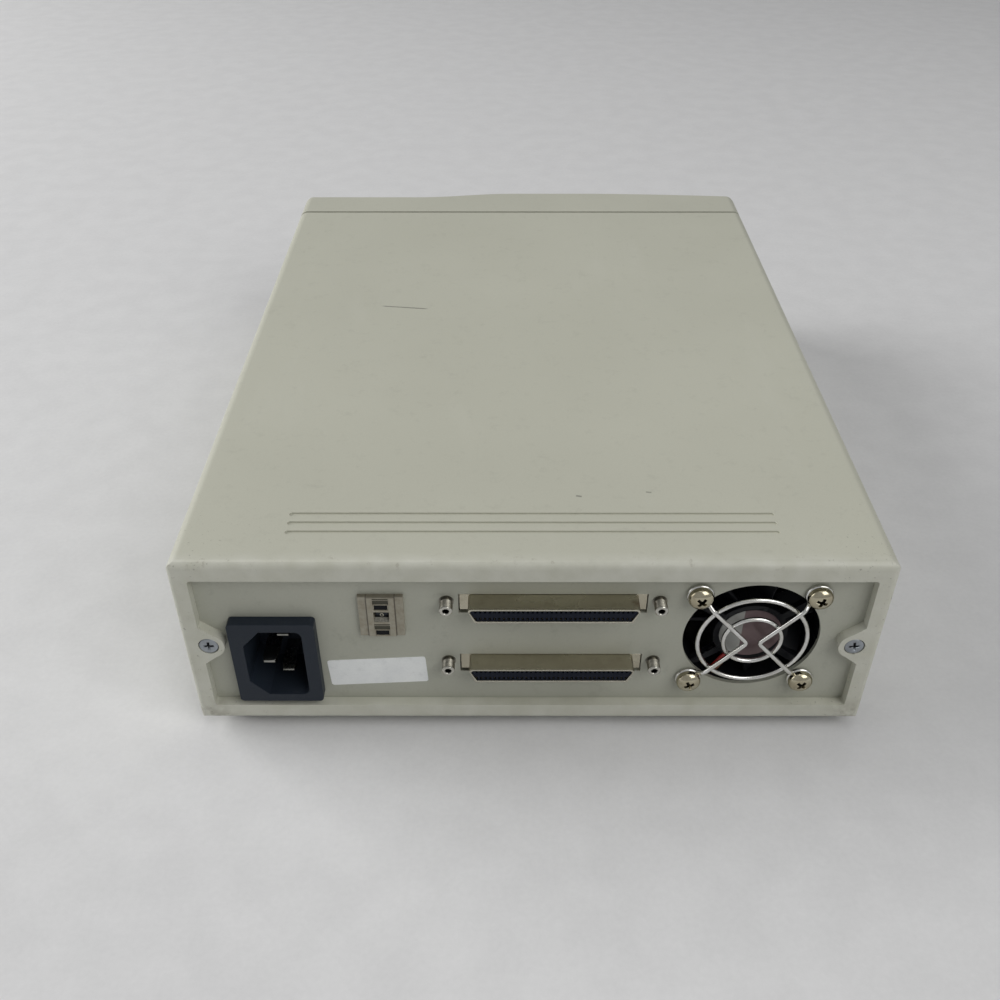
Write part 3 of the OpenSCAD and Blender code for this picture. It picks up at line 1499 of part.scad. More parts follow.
roller_at = pinch_at + pinch_arm_l * [cos(pinch_angle), sin(pinch_angle)];

module pinch_arm() color("#b9bcbd") in_drive() difference() {
    union() {
        over_place(pinch_at, pinch_arm_z) {
            cylinder(d = pinch_hub_d, h = pinch_arm_t);
            rotate([0, 0, pinch_angle])
                translate([0, -pinch_arm_w / 2, 0]) cube([pinch_arm_l, pinch_arm_w, pinch_arm_t]);
        }
        translate([roller_at[0], roller_at[1], pinch_arm_z]) {
            cylinder(d = pinch_boss_d, h = pinch_arm_t);
            cylinder(d = axle_d, h = pinch_arm_t + run_gap + pinch_roller_h);
        }
    }
    over_place(pinch_at, pinch_arm_z - over)
        cylinder(d = axle_d + 2 * pin_gap, h = pinch_arm_t + 2 * over);
}

module pinch_roller() color("#2a2a2a") in_drive()
    translate([roller_at[0], roller_at[1], pinch_arm_z + pinch_arm_t + run_gap]) difference() {
        cylinder(d = pinch_roller_d, h = pinch_roller_h);
        bore(axle_d + 2 * pin_gap, pinch_roller_h);
    }

// Carriage: a slide that runs in along the deck, and a holder that drops on the reels in it

function holder_half() = cassette_w / 2 + run_gap + holder_t;
holder_low = slot_z - cassette_h / 2 - holder_t;
holder_high = slot_z + cassette_h / 2 + holder_t;
slide_half = holder_half() + run_gap;
pin_y = holder_from + holder_l * slide_pin_share;

module cassette_slide() color("#9fa3a6") in_drive() difference() {
    bar_z = holder_high + run_gap;
    union() {
        for (side = [0, 1]) mirror([side, 0, 0])
            bar(slide_half, slide_half + slide_t, holder_from, holder_from + slide_l,
                deck_top + run_gap, bar_z + slide_t);
        bar(-slide_half - slide_t, slide_half + slide_t, holder_from + slide_l - slide_bar_w,
            holder_from + slide_l, bar_z, bar_z + slide_t);
    }
    // Upright slots for the holder's pins
    for (side = [-1, 1])
        bar(side * (slide_half + slide_t / 2) - slide_t, side * (slide_half + slide_t / 2) + slide_t,
            pin_y - slide_pin_d / 2 - pin_slot_gap, pin_y + slide_pin_d / 2 + pin_slot_gap,
            slot_z - load_down - slide_pin_d / 2 - pin_slot_gap,
            slot_z + slide_pin_d / 2 + pin_slot_gap);
}

module cassette_holder() color("#b9bcbd") in_drive() {
    half = holder_half();
    bar(-half, half, holder_from, holder_from + holder_l, holder_high - holder_t, holder_high);
    for (side = [0, 1]) mirror([side, 0, 0]) {
        bar(half - holder_t, half, holder_from, holder_from + holder_l, holder_low, holder_high);
        bar(half - holder_ledge, half, holder_from, holder_from + holder_l, holder_low,
            holder_low + holder_t);
        translate([0, pin_y, slot_z]) rod_x(slide_pin_d, half - holder_t, slide_half + slide_t);
    }
}

// Involute gear outline
function involute(a) = tan(a) * 180 / PI - a;
function gear_points(teeth) =
    let (pitch_r = gear_module * teeth / 2,
        base_r = pitch_r * cos(gear_angle),
        tip_r = pitch_r + gear_module * addendum_share,
        root_r = pitch_r - gear_module * dedendum_share,
        start_r = max(base_r, root_r),
        half = (gear_module * PI / 2 - backlash) / 2 / pitch_r * 180 / PI + involute(gear_angle),
        radii = [for (k = [0 : 4]) start_r + (tip_r - start_r) * k / 4],
        flank = [for (r = radii) [r, half - involute(acos(min(base_r / r, 1)))]])
    [for (i = [0 : teeth - 1])
        let (mid = 360 * i / teeth)
            each concat(
                [[root_r * cos(mid - flank[0][1]), root_r * sin(mid - flank[0][1])]],
                [for (f = flank) f[0] * [cos(mid - f[1]), sin(mid - f[1])]],
                [for (k = [len(flank) - 1 : -1 : 0])
                    flank[k][0] * [cos(mid + flank[k][1]), sin(mid + flank[k][1])]],
                [[root_r * cos(mid + flank[0][1]), root_r * sin(mid + flank[0][1])]])];

module mode_gear() color("#e4e2da") in_drive()
    over_place(gear_at, deck_top + gear_lift) difference() {
        linear_extrude(gear_t) polygon(gear_points(gear_teeth));
        bore(axle_d + 2 * pin_gap, gear_t);
        // Thin web between hub and rim
        up(gear_t - gear_lift) difference() {
            cylinder(r = gear_module * gear_teeth / 2 - 2 * gear_module - axle_d / 2, h = gear_t);
            bore(gear_web, gear_t);
        }
    }

// Pinion on the motor's shaft: between two of its teeth lies one tooth of the gear
module motor_pinion() color("#d8b060") in_drive()
    translate([motor_at[0], motor_at[1], deck_top + gear_lift]) difference() {
        linear_extrude(gear_t) polygon(gear_points(pinion_teeth));
        bore(motor_shaft_d + 2 * pin_gap, gear_t);
    }

module mode_motor() in_drive() translate([motor_at[0], motor_at[1], deck_top + motor_lift]) {
    color("#b9bcbd") {
        translate([-motor_plate[0] / 2, -motor_plate[1] / 2, 0])
            cube([motor_plate[0], motor_plate[1], motor_plate_t]);
        up(motor_plate_t) cylinder(d = motor_d, h = motor_h);
        up(gear_lift - motor_lift) cylinder(d = motor_shaft_d, h = motor_lift);
    }
}

module left_tape_guide() tape_guide(1);
module right_tape_guide() tape_guide(0);

// Tape guide: a base that runs in its slot of the deck and carries a roller post
module tape_guide(side) color("#d8dadb") in_drive() mirror([side, 0, 0])
    over_place(guide_start, 0) {
        up(deck_top + run_gap) cylinder(d = guide_base_d, h = guide_base_h);
        up(deck_top + run_gap)
            cylinder(d = guide_post_d, h = guide_top - deck_top - run_gap - guide_cap_h);
        up(guide_top - guide_cap_h) cylinder(d = guide_cap_d, h = guide_cap_h);
        up(deck_top + run_gap - guide_tongue_h)
            cylinder(d = guide_tongue_d, h = guide_tongue_h);
    }

case_sleeve();
front_bezel();
base_chassis();
rear_panel();
rubber_feet();
case_screws();
bezel_screws();
rating_label();
inlet_body();
inlet_blades();
mains_leads();
id_switch_body();
id_wheel();
id_button_up();
id_button_down();
connector_shells();
connector_inserts();
jackscrews();
connector_board();
ribbon_cable();
fan_frame();
fan_label();
fan_rotor();
fan_guard();
fan_screws();
fan_leads();
psu_board();
psu_screws();
psu_transformer();
psu_capacitors();
psu_heatsinks();
psu_terminals();
drive_leads();
power_switch_body();
power_button();
power_lamp();
switch_leads();
drive_rails();
drive_screws();
drive_frame();
drive_lid();
drive_front();
cassette_door();
eject_button();
drive_lamps();
main_board();
drum_base();
head_drum();
capstan();
supply_reel_table();
takeup_reel_table();
pinch_arm();
pinch_roller();
cassette_slide();
cassette_holder();
mode_motor();
motor_pinion();
mode_gear();
left_tape_guide();
right_tape_guide();
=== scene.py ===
# %% [markdown]
# # An external tape drive, dressed
#
# The object is a beige plastic case with a steel tray inside. Its back, which faces the camera,
# has a mains inlet, a number switch, two data ports and a fan. The CAD frame gives every size;
# this file gives each surface its material and each piece the detail that the eye expects.

# %% Load the frame
import json
import math
from contextlib import contextmanager

import bmesh
import bpy
import numpy as np
from mathutils import Matrix, Vector


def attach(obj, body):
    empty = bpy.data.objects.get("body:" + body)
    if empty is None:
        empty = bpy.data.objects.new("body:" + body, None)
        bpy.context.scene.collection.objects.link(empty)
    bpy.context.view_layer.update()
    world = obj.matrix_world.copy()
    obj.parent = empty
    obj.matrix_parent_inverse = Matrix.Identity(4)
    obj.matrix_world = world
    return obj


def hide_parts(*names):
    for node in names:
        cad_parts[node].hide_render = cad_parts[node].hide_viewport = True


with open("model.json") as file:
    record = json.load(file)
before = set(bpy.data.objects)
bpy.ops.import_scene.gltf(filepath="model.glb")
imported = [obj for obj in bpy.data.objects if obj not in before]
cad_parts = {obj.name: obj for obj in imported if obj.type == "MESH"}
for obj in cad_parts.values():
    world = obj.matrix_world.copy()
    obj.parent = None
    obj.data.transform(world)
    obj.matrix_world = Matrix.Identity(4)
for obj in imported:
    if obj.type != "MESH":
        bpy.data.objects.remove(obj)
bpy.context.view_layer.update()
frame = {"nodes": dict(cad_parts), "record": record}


NODES = frame["nodes"]
RECORD = frame["record"]
BODY_OF = {n: body for body, names in RECORD["behaviour"]["bodies"].items() for n in names}

# %% [markdown]
# ## Sizes
#
# The same named sizes as in the part's source, in millimetres. X runs to the left of the picture,
# Y towards the camera and Z up. Sizes that only one piece needs stand beside that piece.

# %% Sizes
MM = 0.001
CASE_W, CASE_H, FOOT_H = 193.0, 60.0, 4.0
TOP_Z, MID_Z = FOOT_H + CASE_H, FOOT_H + CASE_H / 2
RIM_Y, FRONT_Y = 127.965, -131.035
SEAM_Y, SEAM_GAP = RIM_Y - 234.5, 1.5
PANEL_Y = RIM_Y - 3.08
WALL = 2.5
TOP_R, BOTTOM_R, FRONT_R = 3.5, 2.5, 3.0
FAN_X, FAN_Z, FAN_HALF = -61.2, 35.0, 32.0 / 2
WIRE_D = 1.3
PORT_X, PORT_ZS, JACK_PITCH = -5.7, (48.3, 25.5), 57.9
ID_X, ID_Z = 41.05, 43.65
ID_FACE_Y = PANEL_Y + 1.5
EAR_X = CASE_W / 2 - 7.1
print("case", CASE_W, "x", RIM_Y - FRONT_Y, "x", CASE_H, "mm")

# %% [markdown]
# ## Small tools for meshes
#
# A piece is made in one of these ways: a CAD solid whose sharp edges are rounded (`skin`), a
# profile turned about an axis (`lathe`), a form drawn through loops of points (`loft`), a `box`,
# or a wire along a route. Real edges are never perfectly sharp, and the thin highlight along a
# rounded edge is most of what makes plastic and sheet metal look real.

# %% Objects and their plain meshes
scene = bpy.context.scene


def link(name, data):
    obj = bpy.data.objects.new(name, data)
    scene.collection.objects.link(obj)
    return obj


def drop(obj):
    bpy.data.objects.remove(obj, do_unlink=True)


def shown_mesh(obj):
    """The mesh that an object shows, with its live modifiers taken in."""
    graph = bpy.context.evaluated_depsgraph_get()
    return bpy.data.meshes.new_from_object(obj.evaluated_get(graph), depsgraph=graph)


def settle(obj):
    """Turns an object's live modifiers into its plain mesh."""
    mesh = shown_mesh(obj)
    obj.modifiers.clear()
    obj.data = mesh
    return obj


@contextmanager
def editing(mesh, source=None):
    """Opens a mesh for changes, begun from a source mesh if one is given, and writes it back."""
    bm = bmesh.new()
    bm.from_mesh(source or mesh)
    yield bm
    bm.to_mesh(mesh)
    bm.free()


def joined(name, objs):
    """One object from several, with their places taken into the mesh."""
    bpy.context.view_layer.update()
    mesh = bpy.data.meshes.new(name)
    with editing(mesh) as bm:
        for obj in objs:
            obj.data.transform(obj.matrix_world)
            bm.from_mesh(obj.data)
            drop(obj)
    return link(name, mesh)


# %% Makers of solids
SAME_PLACE = 1e-8
CORNERS = ((-1, -1), (1, -1), (1, 1), (-1, 1))


def mesh_of(name, points, faces=()):
    """A mesh from points in millimetres."""
    mesh = bpy.data.meshes.new(name)
    mesh.from_pydata([tuple(Vector(p) * MM) for p in points], [], faces)
    mesh.validate()
    return mesh


def solid(name, points, faces):
    """An object whose faces all point outwards."""
    mesh = mesh_of(name, points, faces)
    with editing(mesh) as bm:
        bmesh.ops.remove_doubles(bm, verts=bm.verts, dist=SAME_PLACE)
        bmesh.ops.recalc_face_normals(bm, faces=bm.faces)
    return link(name, mesh)


def loft(name, loops, ends_meet=False):
    """A form through loops of points. Its ends are closed, or meet each other."""
    n = len(loops)
    m = len(loops[0])
    faces = [(i * m + k, i * m + (k + 1) % m, (i + 1) % n * m + (k + 1) % m, (i + 1) % n * m + k)
             for i in range(n if ends_meet else n - 1) for k in range(m)]
    if not ends_meet:
        faces += [tuple(range(m))[::-1], tuple(range(m * (n - 1), m * n))]
    return solid(name, [point for loop in loops for point in loop], faces)


def lathe(name, profile, segments=40):
    """A profile [(radius, height), ...] turned about Z. It closes where its radius is 0."""
    n = len(profile)
    angles = [2 * math.pi * k / segments for k in range(segments)]
    points = [(r * math.cos(a), r * math.sin(a), h) for a in angles for r, h in profile]
    faces = [(k * n + i, (k + 1) % segments * n + i, (k + 1) % segments * n + i + 1, k * n + i + 1)
             for k in range(segments) for i in range(n - 1)]
    return solid(name, points, faces)


def box(name, low, high):
    """A box between two corners in millimetres."""
    low, high = Vector(low) * MM, Vector(high) * MM
    mesh = bpy.data.meshes.new(name)
    with editing(mesh) as bm:
        bmesh.ops.create_cube(bm, size=1)
        for v in bm.verts:
            v.co = Vector(((low[i] + high[i]) / 2 + v.co[i] * (high[i] - low[i]) for i in range(3)))
    return link(name, mesh)


def cut(obj, cutter):
    """Takes one closed form out of another."""
    mod = obj.modifiers.new("cut", "BOOLEAN")
    mod.operation = "DIFFERENCE"
    mod.solver = "EXACT"
    mod.object = cutter
    settle(obj)
    drop(cutter)
    return obj


# %% Finishing a piece
CAD_WELD = 5e-7
FLAT_ENOUGH = math.radians(0.8)


def round_edges(obj, width, segments=2, angle=28):
    """Rounds every sharp edge of an object by a width in millimetres."""
    mod = obj.modifiers.new("edges", "BEVEL")
    mod.width = width * MM
    mod.segments = segments
    mod.limit_method = "ANGLE"
    mod.angle_limit = math.radians(angle)
    mod.use_clamp_overlap = True
    return settle(obj)


def dress(obj, material, smooth=32):
    """Gives an object its material, and shades it smooth up to an angle."""
    obj.data.materials.clear()
    obj.data.materials.append(material)
    obj.data.shade_smooth()
    obj.data.set_sharp_from_angle(angle=math.radians(smooth))
    even = obj.modifiers.new("even", "WEIGHTED_NORMAL")
    even.keep_sharp = True
    even.weight = 100
    return settle(obj)


def stands_for(obj, *nodes):
    """Shows a piece in place of one or more CAD nodes, on their body."""
    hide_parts(*nodes)
    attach(obj, BODY_OF[nodes[0]])
    print(obj.name, "stands for", *nodes, "with", len(obj.data.polygons), "faces")
    return obj


def beside(obj, node):
    """Adds a piece next to a CAD node, on its body."""
    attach(obj, BODY_OF[node])
    print(obj.name, "is added beside", node, "with", len(obj.data.polygons), "faces")
    return obj


def skin(node, material, width, segments=2, name=None):
    """The CAD solid of a node with its sharp edges rounded."""
    name = name or node + "_body"
    mesh = bpy.data.meshes.new(name)
    with editing(mesh, NODES[node].data) as bm:
        bmesh.ops.remove_doubles(bm, verts=bm.verts, dist=CAD_WELD)
        bmesh.ops.dissolve_limit(bm, angle_limit=FLAT_ENOUGH, verts=bm.verts, edges=bm.edges)
        bmesh.ops.recalc_face_normals(bm, faces=bm.faces)
    obj = round_edges(link(name, mesh), width, segments)
    return stands_for(dress(obj, material), node)


# %% [markdown]
# ## Small tools for node trees
#
# Shader groups hold what several materials share. Geometry Nodes trees make what repeats, such as
# screws on a pattern or the contacts of a port. A node can be added and linked by hand in four or
# five lines; one small class does it in one, so that a material still reads from top to bottom.

# %% Node tools
class Tree:
    """Adds nodes by type and links them in one call, and names the steps that most looks share."""

    def __init__(self, tree):
        self.tree = tree
        self.nodes = tree.nodes
        self.place = None

    def use_object_coordinates(self):
        self.place = self.add("ShaderNodeTexCoord").outputs["Object"]

    def add(self, kind, props=None, **inputs):
        """Adds a node. Its inputs are named by their labels, or by i and their number."""
        node = self.nodes.new(kind)
        for key, value in (props or {}).items():
            setattr(node, key, value)
        for key, value in inputs.items():
            self.feed(node, key, value)
        return node

    def feed(self, node, key, value):
        """Links an output to an input, or sets the input to a number, a colour or a vector."""
        numbered = key[0] == "i" and key[1:].isdigit()
        socket = node.inputs[int(key[1:]) if numbered else key.replace("_", " ")]
        if isinstance(value, bpy.types.NodeSocket):
            self.tree.links.new(value, socket)
        elif socket.type == "RGBA":
            socket.default_value = (*value, 1.0)
        else:
            socket.default_value = value

    def math(self, op, a, b=0.0, clamp=False):
        return self.add("ShaderNodeMath", {"operation": op, "use_clamp": clamp}, i0=a, i1=b).outputs[0]

    def times(self, a, b):
        return self.math("MULTIPLY", a, b)

    def plus(self, a, b):
        return self.math("ADD", a, b)

    def minus(self, a, b):
        return self.math("SUBTRACT", a, b)

    def size(self, a):
        return self.math("ABSOLUTE", a)

    def ramp(self, value, low, high, to_low=0.0, to_high=1.0):
        """Turns a value's range from low to high into the range from to_low to to_high."""
        node = self.add("ShaderNodeMapRange", {"clamp": True}, i0=value, i1=low, i2=high, i3=to_low,
                        i4=to_high)
        return node.outputs[0]

    def ramp_mm(self, value, low, high, to_low=0.0, to_high=1.0):
        """The same for a length, with its range in millimetres."""
        return self.ramp(value, low * MM, high * MM, to_low, to_high)

    def blend(self, share, a, b):
        """Mixes a share of colour b into colour a."""
        return self.add("ShaderNodeMix", {"data_type": "RGBA"}, i0=share, i6=a, i7=b).outputs[2]

    def noise(self, scale, detail=2.0, roughness=0.5, place=None):
        node = self.add("ShaderNodeTexNoise", Vector=place or self.place, Scale=scale,
                        Detail=detail, Roughness=roughness)
        return node.outputs["Fac"]

    def axis(self, axis):
        return self.add("ShaderNodeSeparateXYZ", i0=self.place).outputs["XYZ".index(axis)]

    def vector_math(self, op, **inputs):
        return self.add("ShaderNodeVectorMath", {"operation": op}, **inputs)


def node_group(kind, name, inputs, outputs):
    """An empty node group: its tree, the tools for it, what it is given and where results go."""
    tree = bpy.data.node_groups.new(name, kind)
    for way, sockets in (("OUTPUT", outputs), ("INPUT", inputs)):
        for label, socket in sockets.items():
            tree.interface.new_socket(label, in_out=way, socket_type="NodeSocket" + socket)
    t = Tree(tree)
    return tree, t, t.add("NodeGroupInput").outputs, t.add("NodeGroupOutput")


# %% [markdown]
# ## Shared surface effects
#
# Three effects turn up on nearly everything: a slow drift of colour, a fine grain in the surface,
# and specks of dust and grime. All of them read object coordinates, which are the object's own
# metres, so the grain has a real size and moves with its piece. A picture of each surface would
# also do it, but it would need unwrapping and would show its pixels close up.

# %% Surface group
GRAIN_DEPTH = 0.00006
surface, t, given, result = node_group(
    "ShaderNodeTree", "surface",
    {"Colour": "Color", "Drift Colour": "Color", "Drift Scale": "Float", "Grain Scale": "Float",
     "Grain": "Float", "Grime Colour": "Color", "Grime": "Float", "Grime Scale": "Float",
     "Smooth": "Float", "Rough": "Float"},
    {"Colour": "Color", "Roughness": "Float", "Normal": "Vector"})
t.use_object_coordinates()
drift = t.ramp(t.noise(given["Drift Scale"], 3.0), 0.35, 0.65)
grain = t.noise(given["Grain Scale"], 3.0, 0.6)
specks = t.ramp(t.noise(given["Grime Scale"], 8.0, 0.75), 0.55, 0.8)
fine = t.ramp(grain, 0.2, 0.8, 0.97, 1.03)
mark_share = t.math("MULTIPLY", specks, given["Grime"], clamp=True)
colour = t.blend(drift, given["Colour"], given["Drift Colour"])
colour = t.blend(mark_share, colour, given["Grime Colour"])
scaled = t.vector_math("SCALE", i0=colour, Scale=fine)
bump = t.add("ShaderNodeBump", Strength=given["Grain"], Distance=GRAIN_DEPTH, Height=grain)
rough = t.add("ShaderNodeMix", {"data_type": "FLOAT"}, i0=drift, i2=given["Smooth"], i3=given["Rough"])
rough = t.math("ADD", rough.outputs[0], t.times(mark_share, 0.2), clamp=True)
t.feed(result, "i0", scaled.outputs[0])
t.feed(result, "i1", rough)
t.feed(result, "i2", bump.outputs[0])
print("surface group with", len(surface.nodes), "nodes")


# %% Material builder
def material(name, colour, drift, grain, grime, rough, drift_scale=20.0,
             grime_colour=(0.1, 0.09, 0.07), metallic=0.0, specular=0.5, coat=0.0, extra=None):
    """A material on the shared surface group.

    Its colour drifts to the second colour. grain and grime are each a strength and a scale, and
    rough is the least and the most. extra(t, colour, rough) may change both, and returns them.
    """
    mat = bpy.data.materials.new(name)
    mat.use_nodes = True
    mat.diffuse_color = (*colour, 1.0)
    t = Tree(mat.node_tree)
    t.nodes.clear()
    out = t.add("ShaderNodeOutputMaterial")
    bsdf = t.add("ShaderNodeBsdfPrincipled", Metallic=metallic, Specular_IOR_Level=specular,
                 Coat_Weight=coat, Coat_Roughness=0.25)
    group = t.add("ShaderNodeGroup", {"node_tree": surface}, Colour=colour, Drift_Colour=drift,
                  Drift_Scale=drift_scale, Grain=grain[0], Grain_Scale=grain[1],
                  Grime_Colour=grime_colour, Grime=grime[0], Grime_Scale=grime[1],
                  Smooth=rough[0], Rough=rough[1])
    colour, rough, normal = group.outputs
    if extra:
        t.use_object_coordinates()
        colour, rough = extra(t, colour, rough)
    t.feed(bsdf, "Base_Color", colour)
    t.feed(bsdf, "Roughness", rough)
    t.feed(bsdf, "Normal", normal)
    t.feed(out, "Surface", bsdf.outputs[0])
    return mat


# %% [markdown]
# ## Materials
#
# The case is an old grey-beige plastic: nearly matt, very finely textured, slightly yellowed and
# scuffed, with grime in its rear corners. The rear panel is sheet steel in a darker paint.
# The marks are placed by formulas on the object's own coordinates, so they need no pictures.

# %% Case plastic
# The scuffs that the photograph shows on the top, as start, end, width and how dark each is
SCUFFS = [
    ((52.9, -17.9), (35.0, -15.5), 0.45, 0.6),
    ((-12.6, 98.4), (-14.4, 98.7), 0.5, 0.5),
    ((-32.5, 96.6), (-34.2, 96.9), 0.45, 0.45),
]


def stroke(t, start, end, width):
    """A thin mark on a top face from start to end, in millimetres: 1 on the mark and 0 off it."""
    (x0, y0), (x1, y1) = start, end
    length = math.hypot(x1 - x0, y1 - y0)
    ux, uy = (x1 - x0) / length, (y1 - y0) / length
    dx = t.minus(t.axis("X"), x0 * MM)
    dy = t.minus(t.axis("Y"), y0 * MM)
    along = t.plus(t.times(dx, ux), t.times(dy, uy))
    across = t.minus(t.times(dx, uy), t.times(dy, ux))
    wobble = t.times(t.minus(t.noise(900.0, 3.0), 0.5), 0.3 * MM)
    off = t.size(t.plus(across, wobble))
    from_middle = t.size(t.minus(along, length * MM / 2))
    on_line = t.ramp_mm(off, width / 2, width, 1.0, 0.0)
    return t.times(on_line, t.ramp_mm(from_middle, length * 0.4, length * 0.5, 1.0, 0.0))


def scuffed(t, colour, rough):
    """The marks of use on the case, and a painted highlight along its rear edge."""
    x, y, z = (t.axis(axis) for axis in "XYZ")
    on_top = t.ramp_mm(z, TOP_Z - 1, TOP_Z)
    for start, end, width, depth in SCUFFS:
        mark = t.times(stroke(t, start, end, width), on_top)
        colour = t.blend(t.times(mark, depth), colour, (0.05, 0.05, 0.045))
    near_rim = t.ramp_mm(y, RIM_Y - 5, RIM_Y - 1.5)
    sides = t.times(t.ramp_mm(z, FOOT_H, FOOT_H + 10, 1.0, 0.0), t.ramp_mm(t.size(x), 84, 96))
    low_corners = t.times(sides, near_rim)
    top_corners = t.times(t.ramp_mm(t.size(x), 58, 88), t.ramp_mm(y, 86, 124))
    top_edge = t.times(near_rim, t.ramp_mm(z, TOP_Z - 3, TOP_Z - 0.5))
    # Where each kind of mark lies, its noise, the share that the noise becomes, and its colour:
    # pale wear along the rear edge, which is also a painted highlight, grime, chips and dots of dirt,
    # and brown rubs
    for area, kind, share, stain in (
            (near_rim, (140.0, 5.0), (0.35, 0.7, 0.1, 0.5), (0.66, 0.66, 0.6)),
            (low_corners, (420.0, 6.0), (0.4, 0.62, 0.0, 0.75), (0.16, 0.13, 0.09)),
            (top_corners, (750.0, 5.0, 0.7), (0.62, 0.68, 0.0, 0.6), (0.09, 0.075, 0.05)),
            (top_edge, (260.0, 6.0, 0.7), (0.6, 0.7, 0.0, 0.5), (0.2, 0.17, 0.12))):
        marks = t.times(area, t.ramp(t.noise(*kind), *share))
        colour = t.blend(marks, colour, stain)
    rough = t.math("SUBTRACT", rough, t.times(top_edge, 0.12), clamp=True)
    # Faint smears, drawn out along the case
    drawn_out = t.vector_math("MULTIPLY", i0=t.place, i1=(1.0, 0.25, 1.0)).outputs[0]
    smears = t.ramp(t.noise(46.0, 4.0, 0.6, drawn_out), 0.58, 0.75, 0.0, 0.16)
    return t.blend(smears, colour, (0.62, 0.62, 0.55)), rough


beige = material(
    "case_plastic", (0.515, 0.515, 0.432), (0.49, 0.49, 0.41), drift_scale=14, grain=(0.22, 2600),
    grime=(0.16, 210), rough=(0.46, 0.56), specular=0.4, extra=scuffed)
bezel_beige = material(
    "bezel_plastic", (0.5, 0.5, 0.42), (0.475, 0.475, 0.4), drift_scale=18, grain=(0.22, 2600),
    grime=(0.12, 180), rough=(0.46, 0.56), specular=0.4)
drive_beige = material(
    "drive_plastic", (0.45, 0.445, 0.38), (0.43, 0.425, 0.36), grain=(0.2, 2900), grime=(0.1, 160),
    rough=(0.42, 0.52), specular=0.4)
print("beige plastics with", len(beige.node_tree.nodes), "nodes in the case's own")

# %% [markdown]
# ## Other plastics, paints and papers
#
# Each is the same surface with its own colours. The second colour of each is what the first one
# drifts to, because no moulded or painted piece has exactly one colour. Nor is one fully black
# or white.

# %% Paints, plastics and papers
SEAM_X, SEAM_HALF = 3.86, 0.07


def seamed(t, colour, rough):
    """Dirt in the two seams beside the switch's column, and painted shade on its top."""
    across = t.size(t.minus(t.axis("X"), ID_X * MM))
    seam = t.size(t.minus(across, SEAM_X * MM))
    colour = t.blend(t.ramp_mm(seam, SEAM_HALF, 0.24, 0.75, 0.0), colour, (0.055, 0.045, 0.03))
    # Painted shade on the switch's top face
    top_shade = t.ramp_mm(t.axis("Z"), ID_Z + 6.8, ID_Z + 7.15, 0.0, 0.6)
    return t.blend(top_shade, colour, (0.08, 0.07, 0.05)), rough


paint = material(
    "panel_paint", (0.425, 0.43, 0.365), (0.4, 0.405, 0.34), drift_scale=30, grain=(0.35, 1500),
    grime=(0.28, 190), rough=(0.42, 0.54), specular=0.45)
navy = material(
    "inlet_plastic", (0.015, 0.021, 0.031), (0.018, 0.024, 0.034), grain=(0.25, 1800),
    grime=(0.15, 300), grime_colour=(0.12, 0.12, 0.11), rough=(0.34, 0.48), specular=0.2)
black = material(
    "black_plastic", (0.004, 0.0045, 0.006), (0.006, 0.0065, 0.008), grain=(0.2, 2200),
    grime=(0.1, 260), grime_colour=(0.08, 0.075, 0.07), rough=(0.3, 0.46), specular=0.12)
insert_black = material(
    "port_insulator", (0.006, 0.009, 0.018), (0.008, 0.011, 0.021), grain=(0.15, 2000),
    grime=(0.06, 400), grime_colour=(0.08, 0.075, 0.07), rough=(0.3, 0.42), specular=0.12)
greige = material(
    "switch_plastic", (0.33, 0.31, 0.245), (0.28, 0.255, 0.195), drift_scale=700, grain=(0.5, 3000),
    grime=(0.4, 700), grime_colour=(0.12, 0.09, 0.06), rough=(0.4, 0.5), specular=0.4, extra=seamed)
olive = material(
    "switch_recess", (0.075, 0.072, 0.053), (0.06, 0.057, 0.042), grain=(0.3, 2600), grime=(0.3, 500),
    rough=(0.5, 0.6), specular=0.2)
wheel_grey = material(
    "wheel_plastic", (0.03, 0.034, 0.042), (0.025, 0.028, 0.035), grain=(0.15, 2600), grime=(0.1, 300),
    rough=(0.35, 0.45), specular=0.3)
ledge_grey = material(
    "window_ledge", (0.26, 0.25, 0.21), (0.14, 0.135, 0.115), drift_scale=2400, grain=(0.6, 2600),
    grime=(0.5, 900), rough=(0.5, 0.6), specular=0.3)
grey_plastic = material(
    "key_plastic", (0.12, 0.125, 0.135), (0.105, 0.11, 0.12), grain=(0.2, 2600), grime=(0.1, 200),
    rough=(0.4, 0.5), specular=0.45)
ivory = material(
    "ivory_plastic", (0.62, 0.59, 0.48), (0.58, 0.55, 0.44), grain=(0.12, 2600), grime=(0.05, 150),
    rough=(0.35, 0.45))
rubber = material(
    "foot_rubber", (0.02, 0.02, 0.021), (0.03, 0.03, 0.03), grain=(0.5, 1500), grime=(0.35, 260),
    grime_colour=(0.2, 0.19, 0.17), rough=(0.7, 0.85), specular=0.3)
paper = material(
    "blank_label", (0.86, 0.88, 0.87), (0.8, 0.82, 0.82), drift_scale=160, grain=(0.25, 1400),
    grime=(0.25, 320), rough=(0.45, 0.6), specular=0.3)
green_board = material(
    "green_board", (0.02, 0.11, 0.045), (0.015, 0.085, 0.035), drift_scale=200, grain=(0.2, 900),
    grime=(0.1, 200), rough=(0.3, 0.4), coat=0.3)
tan_board = material(
    "tan_board", (0.28, 0.16, 0.06), (0.24, 0.13, 0.05), drift_scale=80, grain=(0.2, 900),
    grime=(0.1, 200), rough=(0.45, 0.55), specular=0.4)
can_blue = material(
    "capacitor_sleeve", (0.012, 0.025, 0.1), (0.01, 0.02, 0.08), grain=(0.08, 1500), grime=(0.05, 150),
    rough=(0.25, 0.35), coat=0.4)
tape_yellow = material(
    "winding_tape", (0.62, 0.36, 0.03), (0.52, 0.3, 0.03), grain=(0.3, 700), grime=(0.1, 150),
    rough=(0.3, 0.4))
